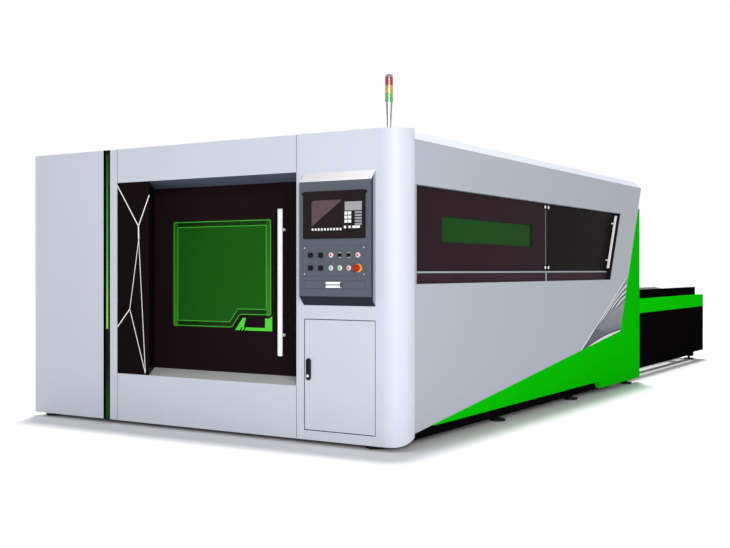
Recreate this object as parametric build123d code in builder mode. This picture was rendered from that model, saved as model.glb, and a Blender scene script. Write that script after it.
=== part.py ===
from build123d import *
import os

# Enclosed laser cutting machine for sheet metal, with a two-level shuttle table behind it.
# Millimetres, +Z up, front towards -Y. The origin is on the floor under the middle of the box.

# Front bays, from left to right
left_bay_width = 778.0
led_channel_width = 71.0
pillar_width = 78.0
portal_width = 1703.0
column_width = 684.0
corner_radius = 160.0

# Heights, from the panels' lower edge upwards
floor_gap = 30.0
lower_panel_height = 1070.0
kick_height = 85.0
leaf_height = 580.0
header_height = 300.0
roof_height = 65.0
apron_height = 364.0
lintel_height = 260.0

# Depths, from the front panels backwards
recess_depth = 300.0
body_depth = 5117.0
table_length = 3423.0

# Sheet panels
sheet = 3.0
front_return = 40.0
side_return = 70.0
side_step = 6.0
seam_round = 2.0
panel_gap = 3.0
running_gap = 0.3
bore_gap = 0.05
overrun = 10.0
fine_sides = 16
coarse_sides = 10
foot_sides = 8

# Light channel
led_width = 36.0
led_wall = 4.0
led_set_back = 6.0

# Recess around the front door
sill_rise = 27.0
soffit_drop = 33.0
recess_flange = 60.0
jamb_width = 330.0
jamb_flare = 221.0

# Roof
roof_bevel = 70.0

# Right and left sides, heights from the panels' lower edge
diagonal_front_height = 75.0
rear_corner_depth = 4450.0
rear_corner_height = 550.0
rear_lean_share = 0.468
window_front_depth = 198.0
window_rear_depth = 4450.0
leaf_seam_depth = 2572.0
skirt_set_back = 15.0
skirt_tip_depth = 480.0
skirt_clearance = 95.0
skirt_step_depth = 3850.0
skirt_step_run = 46.0
skirt_foot_height = 28.0
fin_height = 1816.0

# Window leaves of the right side
leaf_thickness = 12.0
leaf_set_back = 45.0
window_rail_height = 12.0
mullion_width = 20.0
kick_thickness = 8.0
pivot_radius = 6.0
pivot_block_radius = 12.0
pivot_block_height = 44.0
pivot_block_length = 46.0
leaf_hinge_radius = 6.0
leaf_pin_radius = 3.0
leaf_hinge_height = 36.0
leaf_hinge_leaf = 50.0
leaf_hinge_plate = 4.0
leaf_hinge_inset = 10.0
view_front_depth = 641.0
view_rear_gap = 317.0
view_height = 181.0
view_rise = 205.0
view_lap = 18.0
view_thickness = 8.0
side_handle_width = 26.0
side_handle_thickness = 16.0
side_handle_margin = 26.0
side_handle_edge = 122.0
side_handle_reach = 25.0
side_post_radius = 8.0
side_post_shares = (0.15, 0.85)
glazing_thickness = 8.0
glazing_lap = 25.0

# Base frame and cutting bed
foot_height = 45.0
foot_radius = 65.0
foot_pad = 16.0
foot_stem_radius = 16.0
base_rail_width = 80.0
base_rail_height = 75.0
base_rear_gap = 110.0
bed_front_depth = 560.0
bed_length = 4070.0
bed_beam_width = 220.0
bed_beam_wall = 16.0
bed_top = 850.0
bed_gap = 30.0
bed_tie_width = 160.0
bed_tie_height = 300.0
rail_width = 34.0
rail_height = 30.0
rail_margin = 20.0

# Pallets, their two levels and their travel
pallet_length = 3150.0
pallet_width = 1700.0
pallet_rail_width = 60.0
pallet_rail_height = 60.0
pallet_height = 110.0
pallet_front_depth = 950.0
pallet_level = 680.0
level_pitch = 180.0
pallet_travel = 4220.0
slat_pitch = 190.0
slat_thickness = 5.0
slat_foot = 14.0
tooth_depth = 22.0
tooth_pitch = 230.0
ledge_width = 70.0
ledge_height = 40.0

# Gantry, cross carriage and cutting head
gantry_front_depth = 720.0
gantry_depth = 300.0
gantry_height = 280.0
gantry_wall = 12.0
carriage_height = 140.0
carriage_length = 440.0
carriage_width = 130.0
cross_rail_height = 26.0
cross_rail_depth = 20.0
cross_rail_edge = 40.0
cross_plate_width = 320.0
cross_plate_thickness = 30.0
cross_block_height = 50.0
cross_block_width = 80.0
cross_block_depth = 22.0
head_rail_width = 24.0
head_rail_depth = 14.0
head_rail_spread = 150.0
slide_width = 210.0
slide_thickness = 24.0
slide_height = 270.0
slide_drop = 20.0
head_radius = 52.0
head_gap = 8.0
head_height = 250.0
head_cone_height = 90.0
collar_radius = 30.0
nozzle_radius = 14.0
nozzle_tip_radius = 5.0
nozzle_height = 40.0
nozzle_clearance = 1000.0

# Enclosure frame, door track and rear wall
post = 60.0
rear_post_gap = 130.0
top_beam_gap = 130.0
track_width = 64.0
track_wall = 4.0
track_slot = 18.0
track_reach = 90.0
rear_passage_gap = 40.0
rear_passage_height = 1030.0

# Front door
door_left_lap = 12.0
door_right_lap = 44.0
door_thickness = 40.0
door_clearance = 3.0
door_sill_lap = 21.0
door_head_lap = 9.0
hanger_width = 90.0
hanger_inset = 180.0
hanger_stem = 10.0
roller_height = 36.0
roller_side_gap = 6.0
window_left = 206.0
window_width = 957.0
window_bottom = 355.0
window_height = 818.0
window_radius = 14.0
notch_width = 291.0
notch_slope = 77.0
notch_height = 100.0
window_lap = 16.0
window_thickness = 8.0
handle_width = 38.0
handle_thickness = 18.0
handle_reach = 60.0
handle_right = 350.0
handle_bottom = 169.0
handle_length = 1070.0
handle_post_inset = 150.0
handle_post_radius = 12.0

# Cabinet in the control column
cabinet_right = 48.0
cabinet_width = 569.0
cabinet_bottom = 67.0
cabinet_height = 761.0
cabinet_door_depth = 24.0
cabinet_margin = 26.0
cabinet_rear_gap = 15.0
hinge_inset = 12.0
hinge_pin_radius = 4.0
hinge_pin_length = 12.0
hinge_lug = 14.0
lever_right = 579.0
lever_bottom = 409.0
lever_width = 36.0
lever_height = 150.0
lever_thickness = 14.0
lever_gap = 1.0
spindle_radius = 7.0
spindle_length = 20.0
mount_plate = 6.0
module_depth = 130.0
module_height = 150.0
module_gap = 24.0
module_row_shares = ((0.3, 0.3, 0.28), (0.2, 0.2, 0.2, 0.26), (0.55, 0.3))

# Control box, places from the column's right end and from the panels' lower edge
box_right = 45.0
box_width = 576.0
box_depth = 55.0
box_bottom = 923.0
box_height = 904.0
box_bevel = 64.0
box_hole_margin = 30.0
bezel_right = 89.0
bezel_width = 494.0
bezel_bottom = 1375.0
bezel_height = 320.0
bezel_proud = 10.0
bezel_radius = 10.0
bezel_lap = 20.0
bezel_back = 45.0
screen_right = 275.0
screen_width = 240.0
screen_bottom = 1459.0
screen_height = 175.0
screen_recess = 4.0
key_height = 4.0
soft_key_width = 12.0
soft_key_size = 15.0
soft_key_shift = 5.0
soft_key_pitch = 25.0
soft_key_height = 1445.0
soft_key_count = 10
pad_right = 111.0
pad_width = 142.0
pad_top = 1618.0
readout_width = 132.0
readout_height = 59.0
letter_key_width = 22.0
letter_key_height = 20.0
letter_key_gap = 7.0
letter_key_inset = 8.0
letter_columns = 2
letter_rows = 3
wide_key_width = 53.0
wide_key_height = 12.0
wide_key_gap = 7.2
wide_rows = 5
foot_key_height = 16.0
foot_key_bottom = 1442.0
foot_key_shares = ((0.02, 0.13), (0.28, 0.39), (0.49, 0.89))
button_radius = 14.0
button_length = 14.0
button_stem_radius = 10.0
button_stem = 24.0
ring_radius = 18.0
ring_height = 6.0
square_button = 34.0
square_corner = 6.0
selector_bar = 10.0
selector_proud = 12.0
estop_radius = 24.0
estop_height = 38.0
estop_cap = 20.0
estop_ring_radius = 29.0
upper_row = 1264.0
lower_row = 1178.0
button_right = 144.0
button_pitch = 71.0
square_pitch = 83.0
drawer_right = 94.0
drawer_width = 487.0
drawer_bottom = 1040.0
drawer_height = 50.0
drawer_depth = 300.0
drawer_wall = 2.0
drawer_gap = 2.0
drawer_side = 14.0
pull_width = 112.0
pull_height = 34.0
pull_reach = 20.0
pull_right = 277.0
runner_width = 24.0
runner_height = 8.0

# Signal tower
tower_right = 60.0
tower_depth = 200.0
tower_base_radius = 36.0
tower_base_height = 14.0
pole_foot_radius = 14.0
pole_height = 196.0
lamp_radius = 27.0
lamp_height = 52.0
lamp_seat = 4.0
lamp_seat_radius = 24.0
cap_height = 18.0
cap_top_radius = 22.0

# Shuttle table
table_inset = 200.0
table_width = 2474.0
table_beam_bottom = 682.0
table_beam_height = 156.0
table_beam_width = 120.0
table_wall = 5.0
table_skirt_bottom = 93.0
skirt_plate = 4.0
leg_width = 100.0
leg_inset = 150.0
tie_height = 70.0
tie_gap = 20.0
guard_inset = 60.0
guard_width = 36.0
guard_top = 940.0
guard_end_gap = 183.0
column_size = 80.0
column_front_gap = 480.0
column_rear_gap = 620.0
platform_plate = 20.0
platform_side_gap = 10.0
platform_drop = 60.0
platform_front_gap = 500.0
platform_rear_gap = 170.0
platform_tie = 80.0
platform_tie_shares = (0.1, 0.5, 0.9)
shoe_height = 160.0

# Places that follow from the sizes
front_bays = left_bay_width + led_channel_width + pillar_width + portal_width + column_width
machine_width = front_bays + corner_radius
panel_height = lower_panel_height + kick_height + leaf_height + header_height + roof_height
left_x = -machine_width / 2
led_x = left_x + left_bay_width
pillar_x = led_x + led_channel_width
portal_x = pillar_x + pillar_width
column_x = portal_x + portal_width
corner_x = column_x + column_width
right_x = corner_x + corner_radius
front_y = (box_depth + estop_height + ring_height - body_depth - table_length) / 2
kick_top = lower_panel_height + kick_height
leaf_top = kick_top + leaf_height
header_top = leaf_top + header_height
base_top = foot_height + base_rail_height
side_face_x = right_x - side_step
side_inner_x = right_x - side_return
bed_x = right_x - table_inset - table_width / 2
bed_inner = pallet_width / 2 + bed_gap
bed_outer = bed_inner + bed_beam_width
upper_level = pallet_level + level_pitch
box_face_y = front_y - box_depth
front_plane = Plane.XZ.offset(-front_y)
side_plane = Plane.YZ.offset(side_face_x)


def deep(depth):
    """Y of a place this far behind the front panels."""
    return front_y + depth


def up(height):
    """Z of a place this far above the panels' lower edge."""
    return floor_gap + height


def rear_edge(height):
    """Depth of the leaning rear edge of the side panels at a height."""
    return rear_corner_depth + rear_lean_share * (height - rear_corner_height)


def window_edge(height):
    """Depth of the leaning rear edge of the window band at a height."""
    return window_rear_depth + rear_lean_share * (height - leaf_top)


def diagonal(depth):
    """Height of the lower panel's slanted lower edge at a depth."""
    rise = (rear_corner_height - diagonal_front_height) / (rear_corner_depth - corner_radius)
    return diagonal_front_height + rise * (depth - corner_radius)


def side_points(*places):
    """Points of a side outline, from pairs of depth and height."""
    return [(deep(depth), up(height)) for depth, height in places]


def block(x_span, y_span, z_span, mode=Mode.ADD):
    """Add a straight block between two corners to the open part, or cut it out."""
    middle = [(low + high) / 2 for low, high in (x_span, y_span, z_span)]
    with Locations(tuple(middle)):
        Box(*[high - low for low, high in (x_span, y_span, z_span)], mode=mode)


def bars(*spans):
    """Straight bars that butt against each other, each a solid of its own."""
    solids = []
    for x_span, y_span, z_span in spans:
        with BuildPart() as bar:
            block(x_span, y_span, z_span)
        solids.append(bar.part.solid())
    return solids


def both_sides(low, high):
    """X spans of a pair of pieces, left and right of the bed's middle, from their distances to it."""
    return [tuple(sorted((bed_x + side * low, bed_x + side * high))) for side in (-1, 1)]


def folded_panel(plane, outline, depth, open_side):
    """Fill the open part with a sheet panel: a skin, and a return along each edge of it."""
    with BuildSketch(plane) as face:
        with BuildLine():
            Polyline(*outline, close=True)
        make_face()
    extrude(face.sketch, amount=-depth)
    skin = faces().sort_by(open_side)[0]
    fillet(skin.outer_wire().edges(), radius=seam_round)
    offset(amount=-sheet, openings=faces().sort_by(open_side)[-1], kind=Kind.INTERSECTION)


def front_outline(x_span, z_span):
    """Corners of an upright rectangle, for a sketch on the front plane."""
    (x_low, x_high), (z_low, z_high) = x_span, z_span
    return [(x_low, z_low), (x_high, z_low), (x_high, z_high), (x_low, z_high)]


# Base frame: floor ring, cross members and the two bed beams with their rails and pallet ledges
base_x = (left_x + side_return, side_inner_x)
base_y = (deep(front_return), deep(body_depth - base_rear_gap))
base_z = (foot_height, base_top)
inner_base_x = (base_x[0] + base_rail_width, base_x[1] - base_rail_width)
bed_y = (deep(bed_front_depth), deep(bed_front_depth + bed_length))
tie_places = (bed_y[0], (bed_y[0] + bed_y[1]) / 2, bed_y[1] - base_rail_width)
base_bars = bars(
    (base_x, (base_y[0], base_y[0] + base_rail_width), base_z),
    (base_x, (base_y[1] - base_rail_width, base_y[1]), base_z),
    *[(span, (base_y[0] + base_rail_width, base_y[1] - base_rail_width), base_z)
      for span in ((base_x[0], inner_base_x[0]), (inner_base_x[1], base_x[1]))],
    *[(inner_base_x, (tie_y, tie_y + base_rail_width), base_z) for tie_y in tie_places],
    ((bed_x - bed_inner, bed_x + bed_inner), (bed_y[0], bed_y[0] + bed_tie_width),
     (base_top, base_top + bed_tie_height)),
    *[(span, (deep(pallet_front_depth), bed_y[1]), (pallet_level - ledge_height, pallet_level))
      for span in both_sides(bed_inner - ledge_width, bed_inner)],
    *[(span, (bed_y[0] + rail_margin, bed_y[1] - rail_margin), (bed_top, bed_top + rail_height))
      for span in both_sides(bed_inner + (bed_beam_width - rail_width) / 2,
                             bed_inner + (bed_beam_width + rail_width) / 2)],
)
with BuildPart() as bed_beams:
    beam_middle = (base_top + bed_top) / 2
    with BuildSketch(Plane.XZ.offset(-bed_y[0])):
        with Locations(
            (bed_x - bed_inner - bed_beam_width / 2, beam_middle),
            (bed_x + bed_inner + bed_beam_width / 2, beam_middle),
        ):
            Rectangle(bed_beam_width, bed_top - base_top)
            Rectangle(
                bed_beam_width - 2 * bed_beam_wall,
                bed_top - base_top - 2 * bed_beam_wall,
                mode=Mode.SUBTRACT,
            )
    extrude(amount=-bed_length)
base_frame = Compound(base_bars + list(bed_beams.part.solids()))

# Levelling feet under the base ring and the table legs
table_x = (bed_x - table_width / 2, bed_x + table_width / 2)
leg_y = (deep(body_depth + leg_inset), deep(body_depth + table_length - leg_inset))
with BuildPart() as levelling_feet:
    ring_x = (base_x[0] + base_rail_width / 2, base_x[1] - base_rail_width / 2)
    ring_step = (base_y[1] - base_y[0] - 2 * foot_radius) / 3
    ring_places = [
        (x, base_y[0] + foot_radius + ring_step * step) for x in ring_x for step in range(4)
    ]
    ring_places[4] = (ring_x[1] - corner_radius, ring_places[4][1])
    leg_x = (table_x[0] + leg_inset, table_x[1] - leg_inset)
    foot_places = ring_places + [(x, y) for x in leg_x for y in leg_y]
    with BuildSketch(Plane.XY):
        with Locations(*foot_places):
            RegularPolygon(foot_radius, foot_sides)
    extrude(amount=foot_pad)
    with BuildSketch(Plane.XY.offset(foot_pad)):
        with Locations(*foot_places):
            RegularPolygon(foot_stem_radius, foot_sides)
    extrude(amount=foot_height - foot_pad)

# Enclosure frame: posts, top beams, track beam and the frame of the right window band
track_z = up(panel_height - lintel_height - soffit_drop) + door_head_lap + track_wall
post_y = (
    deep(recess_depth + track_width),
    deep(leaf_seam_depth) - post / 2,
    deep(rear_edge(lower_panel_height)) - rear_post_gap - post,
)
post_x = ((left_x + side_return, left_x + side_return + post), (side_inner_x - post, side_inner_x))
frame_top = up(header_top)
top_z = (frame_top - post, frame_top)
across_x = (post_x[0][1], post_x[1][0])
window_rail_x = (side_inner_x, right_x - leaf_set_back)
window_rail_z = (up(kick_top) - window_rail_height, up(kick_top))
enclosure_frame = Compound(bars(
    *[(span, (y, y + post), (base_top, top_z[0])) for span in post_x for y in post_y],
    *[(span, (post_y[0], deep(rear_edge(header_top)) - top_beam_gap), top_z) for span in post_x],
    *[(across_x, (y, y + post), top_z) for y in post_y],
    (across_x, (post_y[0], post_y[0] + post), (track_z, track_z + track_width)),
    ((side_inner_x, side_face_x), (deep(corner_radius), deep(window_front_depth)),
     (up(lower_panel_height), up(leaf_top))),
    (window_rail_x, (deep(window_front_depth), deep(window_edge(lower_panel_height))), window_rail_z),
    (window_rail_x, (deep(leaf_seam_depth) - mullion_width / 2, deep(leaf_seam_depth) + mullion_width / 2),
     (up(lower_panel_height), window_rail_z[0])),
))

# Front bays
panel_z = (up(0), up(panel_height))
with BuildPart() as left_bay_panel:
    folded_panel(front_plane, front_outline((left_x, led_x), panel_z), front_return, Axis.Y)

with BuildPart() as led_channel:
    with BuildSketch(front_plane):
        with BuildLine():
            Polyline(*front_outline((led_x, pillar_x), panel_z), close=True)
        make_face()
    extrude(amount=-front_return)
    offset(amount=-led_wall, openings=faces().sort_by(Axis.Y)[0], kind=Kind.INTERSECTION)

with BuildPart() as led_diffuser:
    led_middle = (led_x + pillar_x) / 2
    block(
        (led_middle - led_width / 2, led_middle + led_width / 2),
        (deep(led_set_back), deep(front_return - led_wall)),
        (panel_z[0] + led_wall, panel_z[1] - led_wall),
    )
    fillet(edges().filter_by(Axis.Z).group_by(Axis.Y)[0], radius=led_wall)

with BuildPart() as portal_pillar:
    folded_panel(front_plane, front_outline((pillar_x, portal_x), panel_z), front_return, Axis.Y)

# Lintel: front skin with a top return, a sloped underside and an upturned rear flange
soffit_front = up(panel_height - lintel_height)
with BuildPart() as portal_lintel:
    with BuildSketch(Plane.YZ.offset(portal_x)):
        with BuildLine():
            Polyline(
                (deep(front_return), panel_z[1]),
                (deep(0), panel_z[1]),
                (deep(0), soffit_front),
                (deep(recess_depth), soffit_front - soffit_drop),
                (deep(recess_depth), soffit_front - soffit_drop + recess_flange),
            )
            offset(amount=sheet, side=Side.LEFT, kind=Kind.INTERSECTION)
        make_face()
    extrude(amount=portal_width)

# Apron: front skin with a bottom return, a rising sill and a rear flange
sill_front = up(apron_height)
with BuildPart() as portal_apron:
    with BuildSketch(Plane.YZ.offset(portal_x)):
        with BuildLine():
            Polyline(
                (deep(front_return), panel_z[0]),
                (deep(0), panel_z[0]),
                (deep(0), sill_front),
                (deep(recess_depth), sill_front + sill_rise),
                (deep(recess_depth), sill_front + sill_rise - recess_flange),
            )
            offset(amount=sheet, side=Side.RIGHT, kind=Kind.INTERSECTION)
        make_face()
    extrude(amount=portal_width)

# Jamb panel: a flat face in the front plane, folded back to the door, cut to the sill and soffit
with BuildPart() as portal_jamb:
    with BuildSketch(Plane.XY.offset(sill_front)):
        with BuildLine():
            Polyline(
                (portal_x, deep(0)),
                (portal_x + jamb_width, deep(0)),
                (portal_x + jamb_width - jamb_flare, deep(recess_depth)),
            )
            offset(amount=sheet, side=Side.LEFT, kind=Kind.INTERSECTION)
        make_face()
    extrude(amount=soffit_front - sill_front)
    with BuildSketch(Plane.YZ.offset(portal_x)):
        with BuildLine():
            Polyline(
                (deep(0), sill_front),
                (deep(recess_depth), sill_front + sill_rise),
                (deep(recess_depth), sill_front),
                close=True,
            )
        make_face()
        with BuildLine():
            Polyline(
                (deep(0), soffit_front),
                (deep(recess_depth), soffit_front - soffit_drop),
                (deep(recess_depth), soffit_front),
                close=True,
            )
        make_face()
    extrude(amount=jamb_width, mode=Mode.SUBTRACT)

# Control column: one rolled sheet from the door recess round the corner to the side panels
cabinet_x = (corner_x - cabinet_right - cabinet_width, corner_x - cabinet_right)
cabinet_z = (up(cabinet_bottom), up(cabinet_bottom + cabinet_height))
box_x = (corner_x - box_right - box_width, corner_x - box_right)
box_z = (up(box_bottom), up(box_bottom + box_height))
hole_x = (box_x[0] + box_hole_margin, box_x[1] - box_hole_margin)
hole_z = (box_z[0] + box_hole_margin, box_z[1] - box_hole_margin)
with BuildPart() as control_column:
    with BuildSketch(Plane.XY.offset(floor_gap)):
        with BuildLine():
            Polyline((column_x, deep(recess_depth)), (column_x, deep(0)), (corner_x, deep(0)))
            CenterArc((corner_x, deep(corner_radius)), corner_radius, 270, 90)
            Line((right_x, deep(corner_radius)), (side_inner_x, deep(corner_radius)))
            offset(amount=sheet, side=Side.LEFT, kind=Kind.INTERSECTION)
        make_face()
    extrude(amount=panel_height)
    with BuildSketch(Plane.XY.offset(panel_z[1] - sheet)):
        with BuildLine():
            Line((column_x, deep(front_return)), (column_x, deep(0)))
            Line((column_x, deep(0)), (corner_x, deep(0)))
            CenterArc((corner_x, deep(corner_radius)), corner_radius, 270, 90)
            Polyline((right_x, deep(corner_radius)), (corner_x, deep(corner_radius)),
                     (corner_x, deep(front_return)), (column_x, deep(front_return)))
        make_face()
    extrude(amount=sheet)
    for x_span, z_span in ((cabinet_x, cabinet_z), (hole_x, hole_z)):
        with BuildSketch(front_plane):
            with BuildLine():
                Polyline(*front_outline(x_span, z_span), close=True)
            make_face()
        extrude(amount=-sheet, mode=Mode.SUBTRACT)
    block(
        (column_x - overrun, column_x + sheet + overrun),
        (deep(front_return), deep(recess_depth) + overrun),
        (0, base_top + panel_gap),
        mode=Mode.SUBTRACT,
    )
    block(
        (column_x - overrun, column_x + sheet + overrun),
        (deep(front_return), deep(recess_depth) + overrun),
        (up(header_top), panel_z[1] + overrun),
        mode=Mode.SUBTRACT,
    )

# Roof: a shallow lid with bevelled long sides that follows the rounded corner
roof_z = (up(header_top), up(panel_height))
roof_rear = deep(rear_edge(header_top))
with BuildPart() as roof_panel:
    with BuildSketch(Plane.XY.offset(roof_z[0])):
        with BuildLine():
            Polyline((corner_x, deep(front_return)), (left_x + side_step, deep(front_return)),
                     (left_x + side_step, roof_rear), (side_face_x, roof_rear),
                     (side_face_x, deep(corner_radius)), (corner_x, deep(corner_radius)),
                     (corner_x, deep(front_return)))
        make_face()
    extrude(amount=roof_height)
    for side_x, inward, start in ((side_face_x, -1, corner_radius), (left_x + side_step, 1, front_return)):
        with BuildSketch(Plane.XZ.offset(-deep(start))):
            with BuildLine():
                Polyline((side_x, roof_z[0]), (side_x + inward * roof_bevel, roof_z[1]),
                         (side_x, roof_z[1]), close=True)
            make_face()
        extrude(amount=deep(start) - roof_rear, mode=Mode.SUBTRACT)
    offset(amount=-sheet, openings=faces().sort_by(Axis.Z)[0], kind=Kind.INTERSECTION)

# Right side panels
side_depth = side_return - side_step
with BuildPart() as side_header_panel:
    header_points = side_points(
        (corner_radius, leaf_top),
        (rear_edge(leaf_top), leaf_top),
        (rear_edge(header_top), header_top),
        (corner_radius, header_top),
    )
    folded_panel(side_plane, header_points, side_depth, -Axis.X)
    pivot_x = right_x - leaf_set_back - leaf_thickness / 2
    pivot_y = deep(window_front_depth + panel_gap + pivot_block_radius)
    with BuildSketch(Plane.XY.offset(up(leaf_top) + sheet)):
        with Locations((pivot_x, pivot_y)):
            Circle(pivot_radius)
    extrude(amount=-sheet - pivot_block_height / 2)

with BuildPart() as side_lower_panel:
    lower_points = side_points(
        (corner_radius, diagonal_front_height),
        (rear_corner_depth, rear_corner_height),
        (rear_edge(lower_panel_height), lower_panel_height),
        (corner_radius, lower_panel_height),
    )
    folded_panel(side_plane, lower_points, side_depth, -Axis.X)

with BuildPart() as side_end_panel:
    end_points = side_points(
        (window_edge(lower_panel_height), lower_panel_height),
        (rear_edge(lower_panel_height), lower_panel_height),
        (rear_edge(leaf_top), leaf_top),
        (window_edge(leaf_top), leaf_top),
    )
    folded_panel(side_plane, end_points, side_depth, -Axis.X)

with BuildPart() as right_skirt:
    skirt_points = side_points(
        (skirt_tip_depth, skirt_clearance),
        (skirt_step_depth, skirt_clearance),
        (skirt_step_depth + skirt_step_run, skirt_foot_height),
        (body_depth, skirt_foot_height),
        (body_depth, fin_height),
        (rear_edge(fin_height), fin_height),
        (rear_corner_depth, rear_corner_height),
        (skirt_tip_depth, diagonal(skirt_tip_depth)),
    )
    with BuildSketch(Plane.YZ.offset(right_x - skirt_set_back)):
        with BuildLine():
            Polyline(*skirt_points, close=True)
        make_face()
    extrude(amount=skirt_set_back - side_return)
    offset(amount=-sheet, openings=faces().sort_by(Axis.X)[0], kind=Kind.INTERSECTION)

# Left side: one panel with a fixed window band, and the mirrored skirt
middle_plane = Plane.YZ
with BuildPart() as left_skirt:
    mirror(right_skirt.part, about=middle_plane)

band_points = side_points(
    (window_front_depth, lower_panel_height),
    (window_edge(lower_panel_height), lower_panel_height),
    (window_edge(leaf_top), leaf_top),
    (window_front_depth, leaf_top),
)
with BuildPart() as left_side_panel:
    left_points = side_points(
        (front_return, diagonal(front_return)),
        (rear_corner_depth, rear_corner_height),
        (rear_edge(header_top), header_top),
        (front_return, header_top),
    )
    with BuildSketch(Plane.YZ.offset(-side_face_x)):
        with BuildLine():
            Polyline(*left_points, close=True)
        make_face()
    extrude(amount=side_depth)
    offset(amount=-sheet, openings=faces().sort_by(Axis.X)[-1], kind=Kind.INTERSECTION)
    with BuildSketch(Plane.YZ.offset(-side_face_x)):
        with BuildLine():
            Polyline(*band_points, close=True)
        make_face()
    extrude(amount=sheet, mode=Mode.SUBTRACT)

# Fixed glazing: two kick strips under the leaves, and the left side's window band
with BuildPart() as fixed_glazing:
    strip_spans = (
        (window_front_depth, leaf_seam_depth - mullion_width / 2),
        (leaf_seam_depth + mullion_width / 2, window_edge(lower_panel_height)),
    )
    for start, end in strip_spans:
        strip_x = right_x - leaf_set_back - leaf_thickness
        block((strip_x, strip_x + kick_thickness),
              (deep(start), deep(end)), (up(lower_panel_height), up(kick_top) - window_rail_height))
    with BuildSketch(Plane.YZ.offset(-side_face_x + sheet)):
        with BuildLine():
            Polyline(*band_points, close=True)
        make_face()
        offset(amount=glazing_lap, kind=Kind.INTERSECTION)
    extrude(amount=glazing_thickness)

# Rear wall: leaning sheet above, upright below, with the passage for the pallets
with BuildPart() as rear_portal:
    with BuildSketch(Plane.YZ.offset(left_x + side_return)):
        with BuildLine():
            Polyline(
                (deep(rear_edge(lower_panel_height)), base_top),
                (deep(rear_edge(lower_panel_height)), up(lower_panel_height)),
                (deep(rear_edge(header_top)), up(header_top)),
            )
            offset(amount=sheet, side=Side.LEFT, kind=Kind.INTERSECTION)
        make_face()
    extrude(amount=machine_width - 2 * side_return)
    passage = bed_inner + rear_passage_gap
    block(
        (bed_x - passage, bed_x + passage),
        (deep(rear_edge(lower_panel_height)) - overrun, deep(rear_edge(lower_panel_height)) + overrun),
        (base_top, rear_passage_height),
        mode=Mode.SUBTRACT,
    )
    block(
        (left_x, right_x),
        (deep(rear_edge(lower_panel_height)), deep(rear_edge(header_top)) + overrun),
        (up(header_top), up(header_top) + overrun),
        mode=Mode.SUBTRACT,
    )

# Door track: a slotted channel across the front, behind the lintel
with BuildPart() as door_track:
    track_x = (left_x + side_return + post, column_x + track_reach)
    track_middle = deep(recess_depth) + track_width / 2
    with BuildSketch(Plane.YZ.offset(track_x[0])):
        with Locations((track_middle, track_z + track_width / 2)):
            Rectangle(track_width, track_width)
            Rectangle(track_width - 2 * track_wall, track_width - 2 * track_wall, mode=Mode.SUBTRACT)
        with Locations((track_middle, track_z + track_wall / 2)):
            Rectangle(track_slot, track_wall, mode=Mode.SUBTRACT)
    extrude(amount=track_x[1] - track_x[0])

# Sliding front door, hung in the track
door_x = (portal_x + jamb_width - jamb_flare - door_left_lap, column_x + door_right_lap)
door_y = deep(recess_depth) + door_clearance
door_z = (sill_front + sill_rise - door_sill_lap, track_z - track_wall)
window_x = (door_x[0] + window_left, door_x[0] + window_left + window_width)
window_z = (door_z[0] + window_bottom, door_z[0] + window_bottom + window_height)
window_points = [
    (window_x[0], window_z[0]),
    (window_x[1] - notch_width - notch_slope, window_z[0]),
    (window_x[1] - notch_width, window_z[0] + notch_height),
    (window_x[1], window_z[0] + notch_height),
    (window_x[1], window_z[1]),
    (window_x[0], window_z[1]),
]
door_plane = Plane.XZ.offset(-door_y)
with BuildPart() as door_panel:
    folded_panel(door_plane, front_outline(door_x, door_z), door_thickness, Axis.Y)
    with BuildSketch(door_plane):
        with BuildLine():
            Polyline(*window_points, close=True)
        make_face()
        fillet(vertices(), radius=window_radius)
    extrude(amount=-sheet, mode=Mode.SUBTRACT)
    for hanger_x in (door_x[0] + hanger_inset, door_x[1] - hanger_inset):
        hanger_span = (hanger_x - hanger_width / 2, hanger_x + hanger_width / 2)
        block(hanger_span, (track_middle - hanger_stem / 2, track_middle + hanger_stem / 2),
              (door_z[1] - sheet, track_z + track_wall + roller_height))
        roller_y = track_width / 2 - track_wall - roller_side_gap
        block(hanger_span, (track_middle - roller_y, track_middle + roller_y),
              (track_z + track_wall + running_gap, track_z + track_wall + roller_height))

with BuildPart() as door_window:
    with BuildSketch(Plane.XZ.offset(-door_y - sheet)):
        with BuildLine():
            Polyline(*window_points, close=True)
        make_face()
        offset(amount=window_lap, kind=Kind.INTERSECTION)
    extrude(amount=-window_thickness)

with BuildPart() as door_handle:
    handle_x = (door_x[1] - handle_right - handle_width, door_x[1] - handle_right)
    handle_z = (door_z[0] + handle_bottom, door_z[0] + handle_bottom + handle_length)
    block(handle_x, (door_y - handle_reach, door_y - handle_reach + handle_thickness), handle_z)
    chamfer(edges().filter_by(Axis.Z), length=handle_thickness / 4)
    with BuildSketch(Plane.XZ.offset(-door_y)):
        with Locations(
            ((handle_x[0] + handle_x[1]) / 2, handle_z[0] + handle_post_inset),
            ((handle_x[0] + handle_x[1]) / 2, handle_z[1] - handle_post_inset),
        ):
            RegularPolygon(handle_post_radius, coarse_sides)
    extrude(amount=handle_reach - handle_thickness)

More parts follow.
